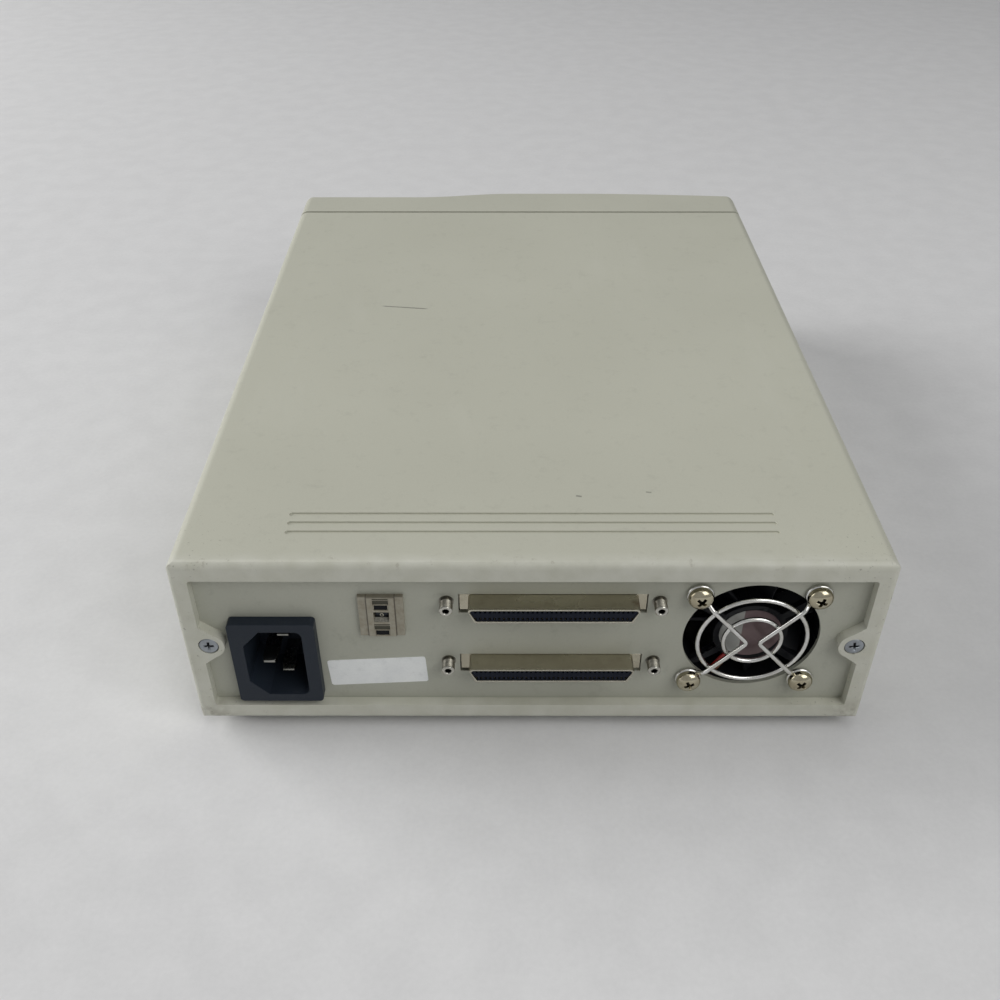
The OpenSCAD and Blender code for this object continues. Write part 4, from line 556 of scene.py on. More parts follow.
lamp_green = material(
    "lamp_lens", (0.03, 0.2, 0.03), (0.025, 0.17, 0.025), grain=(0.05, 1200), grime=(0.05, 200),
    rough=(0.12, 0.2), specular=0.6, coat=0.5)
print("materials so far", len(bpy.data.materials))

# %% [markdown]
# ## Metals
#
# A plated steel part gets a painted highlight at a jackscrew's polished end and along a shell's rim,
# and painted shade in a cross recess or a bore. The mesh of a screw tells its material which points
# lie deep, so the painted shade in its recess stays dark from every side.

# %% What happens to metals
SHELL_OUT, JACK_OUT = 6.1, 4.2


def recessed(t, colour, rough):
    """Painted shade in a screw's cross or a jackscrew's bore, darker where the mesh says it lies deeper.
    """
    deep = t.add("ShaderNodeAttribute", {"attribute_name": "recess"}).outputs["Fac"]
    # Painted shade: the deeper a point lies in the recess, the darker its colour
    mark_share = t.ramp(deep, 0.0, 0.8, 0.0, 0.88)
    return t.blend(mark_share, colour, (0.012, 0.011, 0.01)), rough


def jack_worn(t, colour, rough):
    """A jackscrew's end is polished by plugs, so it is smoother and gets a painted highlight; its bore
    gets painted shade.
    """
    tip_highlight = t.ramp_mm(t.axis("Y"), PANEL_Y + JACK_OUT - 0.15, PANEL_Y + JACK_OUT)
    # Painted highlight on the jackscrew's end
    colour = t.blend(tip_highlight, colour, (0.5, 0.49, 0.44))
    rough = t.math("SUBTRACT", rough, t.times(tip_highlight, 0.2), clamp=True)
    return recessed(t, colour, rough)


def front_worn(t, colour, rough):
    """A painted highlight and smoother metal on a shell's rim, and a rusty end on the upper shell."""
    rim_highlight = t.ramp_mm(t.axis("Y"), PANEL_Y + SHELL_OUT - 0.8, PANEL_Y + SHELL_OUT)
    # Painted highlight along the shell's rim
    colour = t.blend(t.times(rim_highlight, 0.5), colour, (0.5, 0.49, 0.43))
    rough = t.math("SUBTRACT", rough, t.times(rim_highlight, 0.1), clamp=True)
    end = Vector((PORT_X - 22.6, PANEL_Y + 3.5, PORT_ZS[0] + 2.2)) * MM
    apart = t.vector_math("DISTANCE", i0=t.place, i1=tuple(end)).outputs[1]
    ragged = t.plus(apart, t.times(t.noise(900.0, 4.0), 2.5 * MM))
    rust = t.ramp_mm(ragged, 1.6, 3.4, 0.75, 0.0)
    colour = t.blend(rust, colour, (0.13, 0.07, 0.035))
    return colour, t.math("ADD", rough, t.times(rust, 0.3), clamp=True)


def two_foils(t, colour, rough):
    """A plain silver band beside the brown foil of a hub label."""
    band = t.ramp_mm(t.axis("X"), FAN_X + 2.35, FAN_X + 2.5, 0.0, 0.85)
    return t.blend(band, colour, (0.34, 0.35, 0.33)), rough


# %% Metals
shell_metal = material(
    "port_shell", (0.5, 0.47, 0.37), (0.4, 0.365, 0.28), drift_scale=90, grain=(0.2, 1500),
    grime=(0.4, 260), grime_colour=(0.16, 0.12, 0.07), rough=(0.24, 0.4), metallic=1.0,
    extra=front_worn)
jack_metal = material(
    "jackscrew_nickel", (0.27, 0.26, 0.22), (0.19, 0.18, 0.15), drift_scale=500, grain=(0.4, 1500),
    grime=(0.7, 900), grime_colour=(0.05, 0.045, 0.035), rough=(0.3, 0.44), metallic=1.0,
    extra=jack_worn)
screw_nickel = material(
    "screw_nickel", (0.5, 0.465, 0.35), (0.42, 0.375, 0.27), drift_scale=240, grain=(0.08, 1500),
    grime=(0.5, 380), grime_colour=(0.14, 0.1, 0.05), rough=(0.1, 0.19), metallic=1.0, extra=recessed)
zinc = material(
    "bright_zinc", (0.36, 0.39, 0.42), (0.29, 0.31, 0.33), drift_scale=160, grain=(0.2, 1800),
    grime=(0.35, 300), grime_colour=(0.08, 0.07, 0.06), rough=(0.2, 0.36), metallic=1.0, extra=recessed)
spring_metal = material(
    "contact_gold", (0.16, 0.13, 0.07), (0.12, 0.1, 0.055), drift_scale=300, grain=(0.05, 1500),
    grime=(0.3, 300), rough=(0.25, 0.4), metallic=1.0)
blade_metal = material(
    "blade_nickel", (0.3, 0.3, 0.28), (0.2, 0.2, 0.18), drift_scale=300, grain=(0.1, 1800),
    grime=(0.35, 400), grime_colour=(0.06, 0.05, 0.04), rough=(0.18, 0.3), metallic=1.0)
chrome = material(
    "guard_wire", (0.72, 0.72, 0.7), (0.6, 0.59, 0.55), drift_scale=200, grain=(0.1, 1500),
    grime=(0.4, 330), grime_colour=(0.12, 0.1, 0.08), rough=(0.12, 0.28), metallic=1.0)
sheet = material(
    "zinc_sheet", (0.5, 0.51, 0.52), (0.4, 0.41, 0.42), drift_scale=60, grain=(0.15, 500),
    grime=(0.15, 120), rough=(0.3, 0.48), metallic=1.0)
aluminium = material(
    "machined_aluminium", (0.68, 0.69, 0.7), (0.6, 0.61, 0.62), drift_scale=90, grain=(0.1, 2600),
    grime=(0.05, 150), rough=(0.18, 0.3), metallic=1.0)
hub_foil = material(
    "hub_foil", (0.15, 0.105, 0.105), (0.115, 0.075, 0.08), drift_scale=130, grain=(0.2, 900),
    grime=(0.6, 260), grime_colour=(0.06, 0.04, 0.04), rough=(0.28, 0.42), metallic=0.4,
    extra=two_foils)
print("materials so far", len(bpy.data.materials))

# %% Sheaths of the leads
LEAD_COLOURS = {
    "mains_leads": ("brown_lead", (0.13, 0.05, 0.02)),
    "fan_leads": ("red_lead", (0.42, 0.02, 0.015)),
    "drive_leads": ("yellow_lead", (0.55, 0.38, 0.04)),
    "switch_leads": ("grey_lead", (0.2, 0.2, 0.2)),
    "ribbon_cable": ("ribbon_grey", (0.33, 0.33, 0.34)),
}
LEADS = {
    node: material(name, colour, tuple(c * 0.8 for c in colour), drift_scale=150,
                   grain=(0.1, 1500), grime=(0.15, 250), rough=(0.35, 0.45))
    for node, (name, colour) in LEAD_COLOURS.items()
}
print("leads", *LEADS)

# %% [markdown]
# ## Materials of the pieces that keep their CAD shape
#
# Inside the case most pieces are plain enough to keep the CAD solid. Each takes the material of
# the real thing: zinc-plated sheet for the tray and the rails, machined aluminium for the drum.

# %% Materials for the frame's own nodes
CAD_LOOKS = {
    sheet: ["base_chassis", "drive_rails", "drive_lid", "cassette_slide", "cassette_holder", "pinch_arm",
            "mode_motor"],
    zinc: ["bezel_screws", "drive_screws", "psu_screws", "capstan"],
    aluminium: ["drive_frame", "drum_base", "head_drum", "left_tape_guide", "right_tape_guide",
                "psu_heatsinks"],
    ivory: ["supply_reel_table", "takeup_reel_table", "mode_gear", "motor_pinion", "psu_terminals"],
    green_board: ["main_board", "connector_board"],
    tan_board: ["psu_board"],
    can_blue: ["psu_capacitors"],
    tape_yellow: ["psu_transformer"],
    black: ["power_switch_body"],
    rubber: ["pinch_roller"],
    lamp_green: ["power_lamp", "drive_lamps"],
    paper: ["rating_label"],
}
LOOK_OF = {node: look for look, nodes in CAD_LOOKS.items() for node in nodes} | LEADS
for node, look in LOOK_OF.items():
    NODES[node].data.materials.clear()
    NODES[node].data.materials.append(look)
print("CAD solids with materials", len(LOOK_OF))

# %% [markdown]
# ## Sleeve and rear panel
#
# On the real object the sleeve is one moulding that slides over a steel tray, and the panel is
# painted sheet. Both keep the CAD shape here, with a small radius on the edges that the CAD
# leaves sharp. Modelling them again would only risk a shape that differs from the solid.

# %% Sleeve and rear panel
skin("case_sleeve", beige, 0.6, segments=4)
skin("rear_panel", paint, 0.12)

# %% [markdown]
# ## Bezel
#
# The bezel is a thin moulding whose front bows out and runs flat at one end. Its CAD form has
# coarse steps, so it is made anew from the same curve with finer ones: loops in Y and Z at stations
# along X. The same form, drawn in by the wall's thickness, is cut out of it, so the wall is even.

# %% Curve of the bezel
CREST_H, CREST_LEFT, CREST_RIGHT, FLAT_X = 4.3, -31.0, 3.0, 46.0
LEFT_FALL, FALL_POWER = 0.79, 1.6
LEAST_R = 0.8


def ease(share):
    return (1 - math.cos(math.pi * min(max(share, 0.0), 1.0))) / 2


def crest_share(x):
    """How much of the bow's full height the front has at x."""
    if x > CREST_RIGHT:
        return ease((FLAT_X - x) / (FLAT_X - CREST_RIGHT))
    if x < CREST_LEFT:
        return 1 - LEFT_FALL * ((CREST_LEFT - x) / (CASE_W / 2 + CREST_LEFT)) ** FALL_POWER
    return 1.0


def corner_drop(x, half, r):
    """How far a rounded corner of radius r has fallen at x, where the side is at half."""
    over = max(abs(x) - half + r, 0.0)
    return r - math.sqrt(max(r * r - over * over, 0.0))


def bezel_form(name, inset, back_y, step=2.0, turn=7.5):
    """The bezel's outer form, drawn in by an inset, closed at the plane back_y."""
    half = CASE_W / 2 - inset
    rf, rt, rb = (max(r - inset, LEAST_R) for r in (FRONT_R, TOP_R, BOTTOM_R))
    side = [half - rt + rt * math.sin(math.radians(a)) for a in np.arange(90.0, 0.0, -turn)]
    flat = np.linspace(rt - half, half - rt, int(2 * (half - rt) / step) + 1)
    quarter = [math.radians(a) for a in np.arange(0.0, 90.1, turn)]
    loops = []
    for x in [-x for x in side] + list(flat) + side[::-1]:
        y = FRONT_Y + inset + CREST_H * (1 - crest_share(x)) + corner_drop(x, half, rt) + rf
        high = TOP_Z - inset - corner_drop(x, half, rt)
        low = FOOT_H + inset + corner_drop(x, half, rb)
        below = [(x, y - rf * math.sin(a), low + rf - rf * math.cos(a)) for a in quarter]
        above = [(x, y - rf * math.sin(a), high - rf + rf * math.cos(a)) for a in quarter]
        loops.append([(x, back_y, low)] + below + above[::-1] + [(x, back_y, high)])
    return loft(name, loops)


# %% Bezel with its openings
BEZEL_BACK = SEAM_Y - SEAM_GAP
DRIVE_X, DRIVE_MID_Z = -28.0, 34.0
BUTTON_X, BUTTON_Z, LAMP_UP = 68.0, 24.0, 13.0
# Each opening's place in X and Z, half its width and height, and the plane that it is cut to
OPENINGS = {
    "window": (DRIVE_X, DRIVE_MID_Z, 51.4, 21.25, BEZEL_BACK + 2),
    "key_hole": (BUTTON_X, BUTTON_Z, 8.3, 4.8, FRONT_Y + 10),
    "lamp_hole": (BUTTON_X, BUTTON_Z + LAMP_UP, 4.1, 1.4, FRONT_Y + 10),
}
bezel = bezel_form("front_bezel_shell", 0.0, BEZEL_BACK)
cut(bezel, bezel_form("bezel_hollow", WALL, BEZEL_BACK + 1))
for name, (x, z, half_w, half_h, to_y) in OPENINGS.items():
    cut(bezel, box(name, (x - half_w, FRONT_Y - 2, z - half_h), (x + half_w, to_y, z + half_h)))
round_edges(bezel, 0.3, 3, angle=35)

# %% Lip that slides into the sleeve, and two posts for screws
# A hair keeps the faces of joined parts from lying in one plane
HAIR = 0.02
LIP_IN, LIP_T, LIP_L = WALL + 0.3, 1.5, 6.0
POST_X, POST_Z, POST_R, POST_BORE_R, POST_BORE_L = 87.0, 15.0, 3.5, 1.5, 10.0
POST_FROM = FRONT_Y + CREST_H + WALL / 4
POST_L = SEAM_Y + 7.5 - POST_FROM


def case_outline(inset, y, steps=8):
    """The case's outline at a plane y, drawn in by an inset."""
    half, high, low = CASE_W / 2 - inset, TOP_Z - inset, FOOT_H + inset
    top_r, bottom_r = max(TOP_R - inset, LEAST_R), max(BOTTOM_R - inset, LEAST_R)
    corners = [(half - top_r, high - top_r, top_r), (top_r - half, high - top_r, top_r),
               (bottom_r - half, low + bottom_r, bottom_r), (half - bottom_r, low + bottom_r, bottom_r)]
    points = []
    for quarter, (x, z, r) in enumerate(corners):
        for k in range(steps + 1):
            a = math.pi / 2 * (quarter + k / steps)
            points.append((x + r * math.cos(a), y, z + r * math.sin(a)))
    return points


def outline_ring(name, outer, inner, y0, y1):
    """A band between two insets of the outline, from y0 to y1."""
    loops = [case_outline(inset, y) for inset, y in ((outer, y0), (outer, y1), (inner, y1), (inner, y0))]
    return loft(name, loops, ends_meet=True)


def bezel_post(x):
    """A post with a bore, open towards the back."""
    bore_end = POST_L - POST_BORE_L
    post = lathe("post", [(POST_BORE_R, bore_end), (POST_BORE_R, POST_L), (POST_R, POST_L),
                          (POST_R, 0.3), (0, 0.3), (0, bore_end), (POST_BORE_R, bore_end)], 32)
    post.rotation_euler = (math.radians(-90), 0, 0)
    post.location = Vector((x, POST_FROM, POST_Z)) * MM
    return post


ledge = outline_ring("ledge", WALL / 2, LIP_IN + LIP_T, BEZEL_BACK - LIP_T, BEZEL_BACK - HAIR)
lip = outline_ring("lip", LIP_IN, LIP_IN + LIP_T - HAIR, BEZEL_BACK - LIP_T + HAIR, SEAM_Y + LIP_L)
bezel = joined("front_bezel_shell", [bezel, ledge, lip, bezel_post(-POST_X), bezel_post(POST_X)])
stands_for(dress(bezel, bezel_beige), "front_bezel")

# %% [markdown]
# ## Feet
#
# A foot is a rubber disc, rounded at its tread, with a shallow dish where it was moulded. A turned
# profile gives all of that in ten points.

# %% Feet
FOOT_IN, FOOT_FROM_END = 13.0, 10.2
FOOT_PROFILE = [(0, 0.9), (2.6, 0.9), (3.0, 0.5), (4.6, 0.0), (5.3, 0.12), (5.85, 0.6), (6, 1.2),
                (5.8, 3.6), (5.6, FOOT_H), (0, FOOT_H)]
feet = []
for side in (-1, 1):
    for y in (RIM_Y - FOOT_FROM_END, SEAM_Y + FOOT_FROM_END):
        foot = lathe("foot", FOOT_PROFILE, 48)
        foot.location = Vector((side * (CASE_W / 2 - FOOT_IN), y, 0)) * MM
        feet.append(foot)
stands_for(dress(joined("feet_rubber", feet), rubber, 40), "rubber_feet")

# %% [markdown]
# ## Screws
#
# A pan head is a low dome with a cross recess whose four arms taper inwards. One screw of each
# size is made, and a Geometry Nodes tree sets it on every hole, each turned by its own angle,
# because nobody tightens two screws to the same angle.

# %% Screw maker
def mark_recess(obj, depth):
    """Stores on each point how deep it lies in a recess, for the metal's material."""
    marks = obj.data.attributes.new("recess", "FLOAT", "POINT")
    for vertex, mark in zip(obj.data.vertices, marks.data):
        mark.value = depth(vertex.co / MM)


def dome(r, head_h, flat):
    """The profile of a head from near its middle to its rim."""
    if flat:
        return [(r - 0.35, head_h), (r - 0.1, head_h - 0.08), (r, head_h - 0.3), (r - 0.1, 0)]
    angles = [math.radians(10 * k) for k in range(1, 10)]
    return [(r * math.sin(a), head_h * (0.25 + 0.75 * math.cos(a))) for a in angles] + [(r, 0)]


def screw_form(name, head_d, head_h, shank_d, shank_l, flat=False):
    """A cross-recessed screw: its head's underside lies at 0 and its head points along +Z."""
    r = head_d / 2
    # The cross's arm, half width and depth are shares of the head
    arm, half_w, deep = head_d * (0.34 if flat else 0.28), head_d * 0.075, head_h * 0.62
    shank = [(shank_d / 2, 0), (shank_d / 2, -shank_l), (0, -shank_l)]
    screw = lathe(name, [(0, head_h)] + dome(r, head_h, flat) + shank)
    for turn in (0, 90):
        foot_and_top = ((0.45 * arm, 0.6 * half_w, head_h - deep), (arm, half_w, head_h + 0.6))
        cross = loft("cross", [[(sx * x, sy * y, z) for sx, sy in CORNERS] for x, y, z in foot_and_top])
        cross.data.transform(Matrix.Rotation(math.radians(turn), 4, "Z"))
        cut(screw, cross)
    round_edges(screw, 0.07, 1, 40)

    def depth(place):
        """How far a point of the head lies below the head's own surface, from 0 to 1."""
        out = math.hypot(place.x, place.y)
        if place.z < 0.02 or out > arm * 1.02:
            return 0.0
        crown = head_h if flat else head_h * (0.25 + 0.75 * math.sqrt(1 - (out / r) ** 2))
        return min(max((crown - place.z - 0.1) / 0.45, 0.0), 1.0)

    mark_recess(screw, depth)
    return screw


# %% Tree that sets a piece on points
def close_tree(t, geometry, given, result):
    """Ends a tree: instances become real, and the material is set."""
    real = t.add("GeometryNodeRealizeInstances", i0=geometry)
    made = t.add("GeometryNodeSetMaterial", Geometry=real.outputs[0], Material=given["Material"])
    t.feed(result, "i0", made.outputs[0])


def grow(obj, tree, **values):
    """Runs a Geometry Nodes tree on an object and keeps its result as a plain mesh."""
    mod = obj.modifiers.new("grow", "NODES")
    mod.node_group = tree
    for item in tree.interface.items_tree:
        if item.name in values:
            mod[item.identifier] = values[item.name]
    mesh = shown_mesh(obj)
    name = obj.name
    drop(obj)
    return link(name, mesh)


set_on, t, given, result = node_group(
    "GeometryNodeTree", "set on points",
    {"Points": "Geometry", "Piece": "Object", "Material": "Material", "Turn": "Float", "Seed": "Int"},
    {"Geometry": "Geometry"})
info = t.add("GeometryNodeObjectInfo", Object=given["Piece"])
facing = t.add("GeometryNodeInputNamedAttribute", {"data_type": "FLOAT_VECTOR"}, Name="facing")
euler = t.add("FunctionNodeAlignEulerToVector", {"axis": "Z"}, Vector=facing.outputs[0])
spread = t.add("FunctionNodeRandomValue", {"data_type": "FLOAT"}, Seed=given["Seed"])
own = t.add("ShaderNodeCombineXYZ", Z=t.times(spread.outputs[1], given["Turn"]))
turned = t.add("FunctionNodeRotateEuler", {"space": "LOCAL"}, Rotation=euler.outputs[0],
               i1=own.outputs[0])
placed = t.add("GeometryNodeInstanceOnPoints", Points=given["Points"],
               Instance=info.outputs["Geometry"], Rotation=turned.outputs[0])
close_tree(t, placed.outputs[0], given, result)


def set_pieces(name, piece, places, look, turn=6.28, seed=1):
    """Sets copies of a piece at places in millimetres, all facing the back of the case."""
    mesh = mesh_of(name, places)
    ways = mesh.attributes.new("facing", "FLOAT_VECTOR", "POINT")
    for way in ways.data:
        way.vector = (0, 1, 0)
    obj = grow(link(name, mesh), set_on, Piece=piece, Material=look, Turn=turn, Seed=seed)
    drop(piece)
    return dress(obj, look, 35)


print("tree with", len(set_on.nodes), "nodes")

# %% The case's two screws and the fan's four
EAR_SEAT_Y, EYE_TOP_Y = RIM_Y - 1.9, PANEL_Y + WIRE_D + 0.05
flush = screw_form("flush_screw", head_d=5.4, head_h=1.85, shank_d=3.0, shank_l=4.3, flat=True)
places = [(side * EAR_X, EAR_SEAT_Y, MID_Z) for side in (-1, 1)]
stands_for(set_pieces("ear_screws", flush, places, zinc, seed=5), "case_screws")
pan = screw_form("pan_screw", head_d=6.9, head_h=2.65, shank_d=3.0, shank_l=9.0)
places = [(FAN_X + sx * FAN_HALF, EYE_TOP_Y, FAN_Z + sz * FAN_HALF)
          for sx in (-1, 1) for sz in (-1, 1)]
stands_for(set_pieces("fan_screw_set", pan, places, screw_nickel, seed=3), "fan_screws")

# %% [markdown]
# ## Fan guard
#
# The guard is bent wire: two rings under two V-shaped wires, whose ends curl into eyes under the
# screws. A Geometry Nodes tree sweeps a round section along the curves, so the wire is equally
# thick everywhere and its path is only a list of points.

# %% Wire tree
sweep, t, given, result = node_group(
    "GeometryNodeTree", "sweep",
    {"Curve": "Geometry", "Radius": "Float", "Sides": "Int", "Material": "Material"},
    {"Geometry": "Geometry"})
circle = t.add("GeometryNodeCurvePrimitiveCircle", Resolution=given["Sides"], Radius=given["Radius"])
tube = t.add("GeometryNodeCurveToMesh", Curve=given["Curve"], i1=circle.outputs[0], Fill_Caps=True)
close_tree(t, tube.outputs[0], given, result)


def wires(name, routes, diameter, look, sides=14):
    """Round wires along routes [(points in millimetres, whether it closes), ...]."""
    curve = bpy.data.curves.new(name, "CURVE")
    curve.dimensions = "3D"
    for points, closed in routes:
        line = curve.splines.new("POLY")
        line.points.add(len(points) - 1)
        for point, place in zip(line.points, points):
            point.co = (*(Vector(place) * MM), 1.0)
        line.use_cyclic_u = closed
    obj = grow(link(name, curve), sweep, Radius=diameter / 2 * MM, Sides=sides, Material=look)
    with editing(obj.data) as bm:
        bmesh.ops.recalc_face_normals(bm, faces=bm.faces)
    return dress(obj, look, 60)


def ring(x, y, z, r, steps=64):
    angles = [2 * math.pi * k / steps for k in range(steps)]
    return [(x + r * math.cos(a), y, z + r * math.sin(a)) for a in angles], True


def smooth_bend(points, radius=1.2, steps=6):
    """Rounds the inner corners of an open line."""
    points = [Vector(p) for p in points]
    out = [points[0]]
    for a, b, c in zip(points, points[1:], points[2:]):
        r = min(radius, (a - b).length * 0.45, (c - b).length * 0.45)
        p, q = b + (a - b).normalized() * r, b + (c - b).normalized() * r
        for s in (k / steps for k in range(steps + 1)):
            out.append((1 - s) ** 2 * p + 2 * s * (1 - s) * b + s * s * q)
    return out + [points[-1]]


print("tree with", len(sweep.nodes), "nodes")

# %% Guard
TOP_WIRE_Y = PANEL_Y + 2.7
EYE_Y = PANEL_Y + WIRE_D / 2
RING_Y = TOP_WIRE_Y - WIRE_D * 0.9
RING_RADII, EYE_R, APEX_X, KNEE_AT = (15.1, 8.0), 3.15, 1.6, 16.0
routes = [ring(FAN_X, RING_Y, FAN_Z, r) for r in RING_RADII]
way = Vector((FAN_HALF - APEX_X, FAN_HALF)).normalized()
for sx in (-1, 1):
    arms = []
    for sz in (1, -1):
        eye = (FAN_X + sx * (FAN_HALF - EYE_R * way.x), EYE_Y, FAN_Z + sz * (FAN_HALF - EYE_R * way.y))
        knee = (FAN_X + sx * (APEX_X + way.x * KNEE_AT), TOP_WIRE_Y, FAN_Z + sz * way.y * KNEE_AT)
        arms.append([eye, knee])
        routes.append(ring(FAN_X + sx * FAN_HALF, EYE_Y, FAN_Z + sz * FAN_HALF, EYE_R, 32))
    apex = (FAN_X + sx * APEX_X, TOP_WIRE_Y, FAN_Z)
    routes.append((smooth_bend(arms[0] + [apex] + arms[1][::-1]), False))
stands_for(wires("guard_wires", routes, WIRE_D, chrome), "fan_guard")

# %% [markdown]
# ## Fan
#
# Frame, hub and blades are glass-filled black plastic, and they keep their CAD shapes. The motor's
# two leads cross from the hub cup to the frame's edge, below the lower strut and in front of the
# blades. This short stretch of them has no solid in the CAD, so it is made here as wires.

# %% Fan frame, hub label, rotor and leads
LEADS_AT = math.radians(-60)
LEAD_Y, LEAD_D, LEAD_APART = PANEL_Y - 2.2, 1.2, 0.65
LEAD_RADII = (9.6, 12.0, 15.0, 18.4)
skin("fan_frame", black, 0.15)
skin("fan_label", hub_foil, 0.05, name="hub_disc")
skin("fan_rotor", black, 0.08)
along = Vector((math.cos(LEADS_AT), 0, math.sin(LEADS_AT)))
aside = Vector((math.sin(LEADS_AT), 0, -math.cos(LEADS_AT)))
for name, side, look in (("red_fan_lead", -1, "fan_leads"), ("brown_fan_lead", 1, "mains_leads")):
    middle = Vector((FAN_X, LEAD_Y, FAN_Z)) + aside * side * LEAD_APART
    route = [middle + along * r for r in LEAD_RADII]
    beside(wires(name, [(route, False)], LEAD_D, LEADS[look], 12), "fan_leads")

# %% [markdown]
# ## Mains inlet
#
# A moulded block with a recess for the plug. Its three blades are brass under bright nickel, and
# the tips are bevelled so that the plug finds them. Each blade is drawn through three rectangles:
# its back, where the bevel starts, and its tip. Behind the block each blade ends in a thin tab.

# %% Inlet and blades
INLET_X, INLET_Z = 71.5, 27.4
INLET_FACE_Y = PANEL_Y + 3.5
BLADE_BACK_Y = PANEL_Y - 1.2 - 18
BLADE_W, BLADE_T, BEVEL_L, TIP_W, TIP_T = 4.0, 2.0, 2.0, 0.8, 0.34
TAB_L, TAB_T = 8.0, 0.8
LIVE_TIP_Y, EARTH_TIP_Y = INLET_FACE_Y - 4.5, INLET_FACE_Y - 1.0
BLADES = [(INLET_X + 2, INLET_Z, EARTH_TIP_Y), (INLET_X - 2, INLET_Z - 7, LIVE_TIP_Y),
          (INLET_X - 2, INLET_Z + 7, LIVE_TIP_Y)]
skin("inlet_body", navy, 0.35, segments=3)
blades = []
for x, z, tip_y in BLADES:
    sections = ((BLADE_BACK_Y, 1, 1), (tip_y - BEVEL_L, 1, 1), (tip_y, TIP_W, TIP_T))
    blades.append(loft("blade", [
        [(x + sx * w * BLADE_W / 2, y, z + sz * t * BLADE_T / 2) for sx, sz in CORNERS]
        for y, w, t in sections]))
for x, z, _ in BLADES:
    blades.append(box("tab", (x - BLADE_W / 2, BLADE_BACK_Y - TAB_L, z - TAB_T / 2),
                      (x + BLADE_W / 2, BLADE_BACK_Y, z + TAB_T / 2)))
blades = round_edges(joined("inlet_blade_set", blades), 0.18, 2)
stands_for(dress(blades, blade_metal), "inlet_blades")

# %% [markdown]
# ## Number switch
#
# A push-wheel switch: a wheel with the digits 0 to 9 behind a small window, and a key above and
# below it that turns it by one step. Each key sits in a thin frame, with a ribbed slope above it.
# The frames and ribs are thinner than a millimetre, so they are made here and not in the CAD.

# %% Tools for the switch
WELL_W, FRAME_T, RIBS_H = 4.3, 0.26, 2.2
KEY_W, KEY_H, KEY_T, KEY_IN = 3.6, 1.7, 0.6, 0.2
KEY_ZS, WINDOW_Z, WINDOW_H = (3.37, -6.0), 0.48, 2.6
WHEEL_R, WHEEL_W, WHEEL_ROOM = 4.9, 3.6, 0.12
AXLE = Vector((ID_X, ID_FACE_Y - 2.4 - 3.8, ID_Z + WINDOW_Z))
LEDGE_Z = WINDOW_Z - WINDOW_H / 2


def prism(name, outline, half_w):
    """A solid with an outline in Y and Z, given from the middle of the switch's face."""
    return loft(name, [[(ID_X + side * half_w, ID_FACE_Y + y, ID_Z + z) for y, z in outline]
                       for side in (-1, 1)])


def block(name, xs, ys, zs):
    """A box given by its ranges from the middle of the switch's face."""
    face = (ID_X, ID_FACE_Y, ID_Z)
    low, high = ([face[i] + span[k] for i, span in enumerate((xs, ys, zs))] for k in (0, 1))
    return box(name, low, high)


def disc(name, radius, half_w, bevel=0.0):
    """A disc that turns about the switch's axle."""
    profile = [(0, half_w), (radius - bevel, half_w), (radius, half_w - bevel)]
    profile += [(radius, bevel - half_w), (radius - bevel, -half_w), (0, -half_w)]
    obj = lathe(name, profile, 72)
    obj.data.transform(Matrix.Translation(AXLE * MM) @ Matrix.Rotation(math.radians(90), 4, "Y"))
    return obj


# %% Switch body and the ledge under its window
switch = skin("id_switch_body", greige, 0.01, segments=1)
cut(switch, disc("wheel_room", WHEEL_R + WHEEL_ROOM, WHEEL_W / 2 + WHEEL_ROOM))
ledge_room = [(1, LEDGE_Z + 0.01), (-2, LEDGE_Z + 0.01), (-2, LEDGE_Z - 1.15), (1, LEDGE_Z - 1.15)]
cut(switch, prism("ledge_room", ledge_room, WELL_W / 2 - 0.1))
dress(round_edges(switch, 0.12, 2), greige)
ledge = prism("window_ledge", [(-1.1, LEDGE_Z - 1.2), (-1.1, LEDGE_Z - 0.1), (-0.15, LEDGE_Z - 1.05),
                               (-0.15, LEDGE_Z - 1.2)], WELL_W / 2 - 0.12)
beside(dress(round_edges(ledge, 0.06, 2), ledge_grey), "id_switch_body")

# %% Keys, their frames and the ribs above them
FRAME_YS, RIBS_BACK, RIBS_FRONT, RIBS_LEAN, RIBS_DEEP, TEETH = (-0.95, -0.1), -0.98, -0.3, 0.36, 0.07, 5


def key_frame(z):
    """Three thin bars round the top and sides of a key."""
    high, low = z + KEY_H / 2 + FRAME_T, z - KEY_H / 2
    inner, outer = KEY_W / 2 + 0.05, WELL_W / 2 + 0.02
    return [block("bar", (-outer, -inner), FRAME_YS, (low, high)),
            block("bar", (inner, outer), FRAME_YS, (low, high)),
            block("bar", (0.01 - inner, inner - 0.01), FRAME_YS, (z + KEY_H / 2 + 0.04, high))]


def key_ribs(z):
    """A ribbed plate above a key, leaning forwards as it rises."""
    low = Vector((RIBS_FRONT, z + KEY_H / 2 + FRAME_T + 0.02))
    way = Vector((RIBS_LEAN, RIBS_H))
    outline = [(RIBS_BACK, low.y)]
    for k in range(TEETH):
        start = low + way * (k / TEETH)
        outline += [start, start + Vector((RIBS_DEEP, RIBS_H / TEETH * 0.35)),
                    start + Vector((RIBS_DEEP, RIBS_H / TEETH * 0.75))]
    return prism("ribs", outline + [low + way, (RIBS_BACK, low.y + RIBS_H)], WELL_W / 2 - 0.02)


frames = joined("key_frames", [bar for z in KEY_ZS for bar in key_frame(z)])
beside(dress(round_edges(frames, 0.05, 2), greige), "id_switch_body")
beside(dress(joined("switch_ribs", [key_ribs(z) for z in KEY_ZS]), olive, 20), "id_switch_body")
for z, node in zip(KEY_ZS, ("id_button_up", "id_button_down")):
    key = block(node + "_cap", (-KEY_W / 2, KEY_W / 2), (-KEY_IN - KEY_T, -KEY_IN),
                (z - KEY_H / 2 + 0.03, z + KEY_H / 2 - 0.03))
    stands_for(dress(round_edges(key, 0.14, 3), black), node)

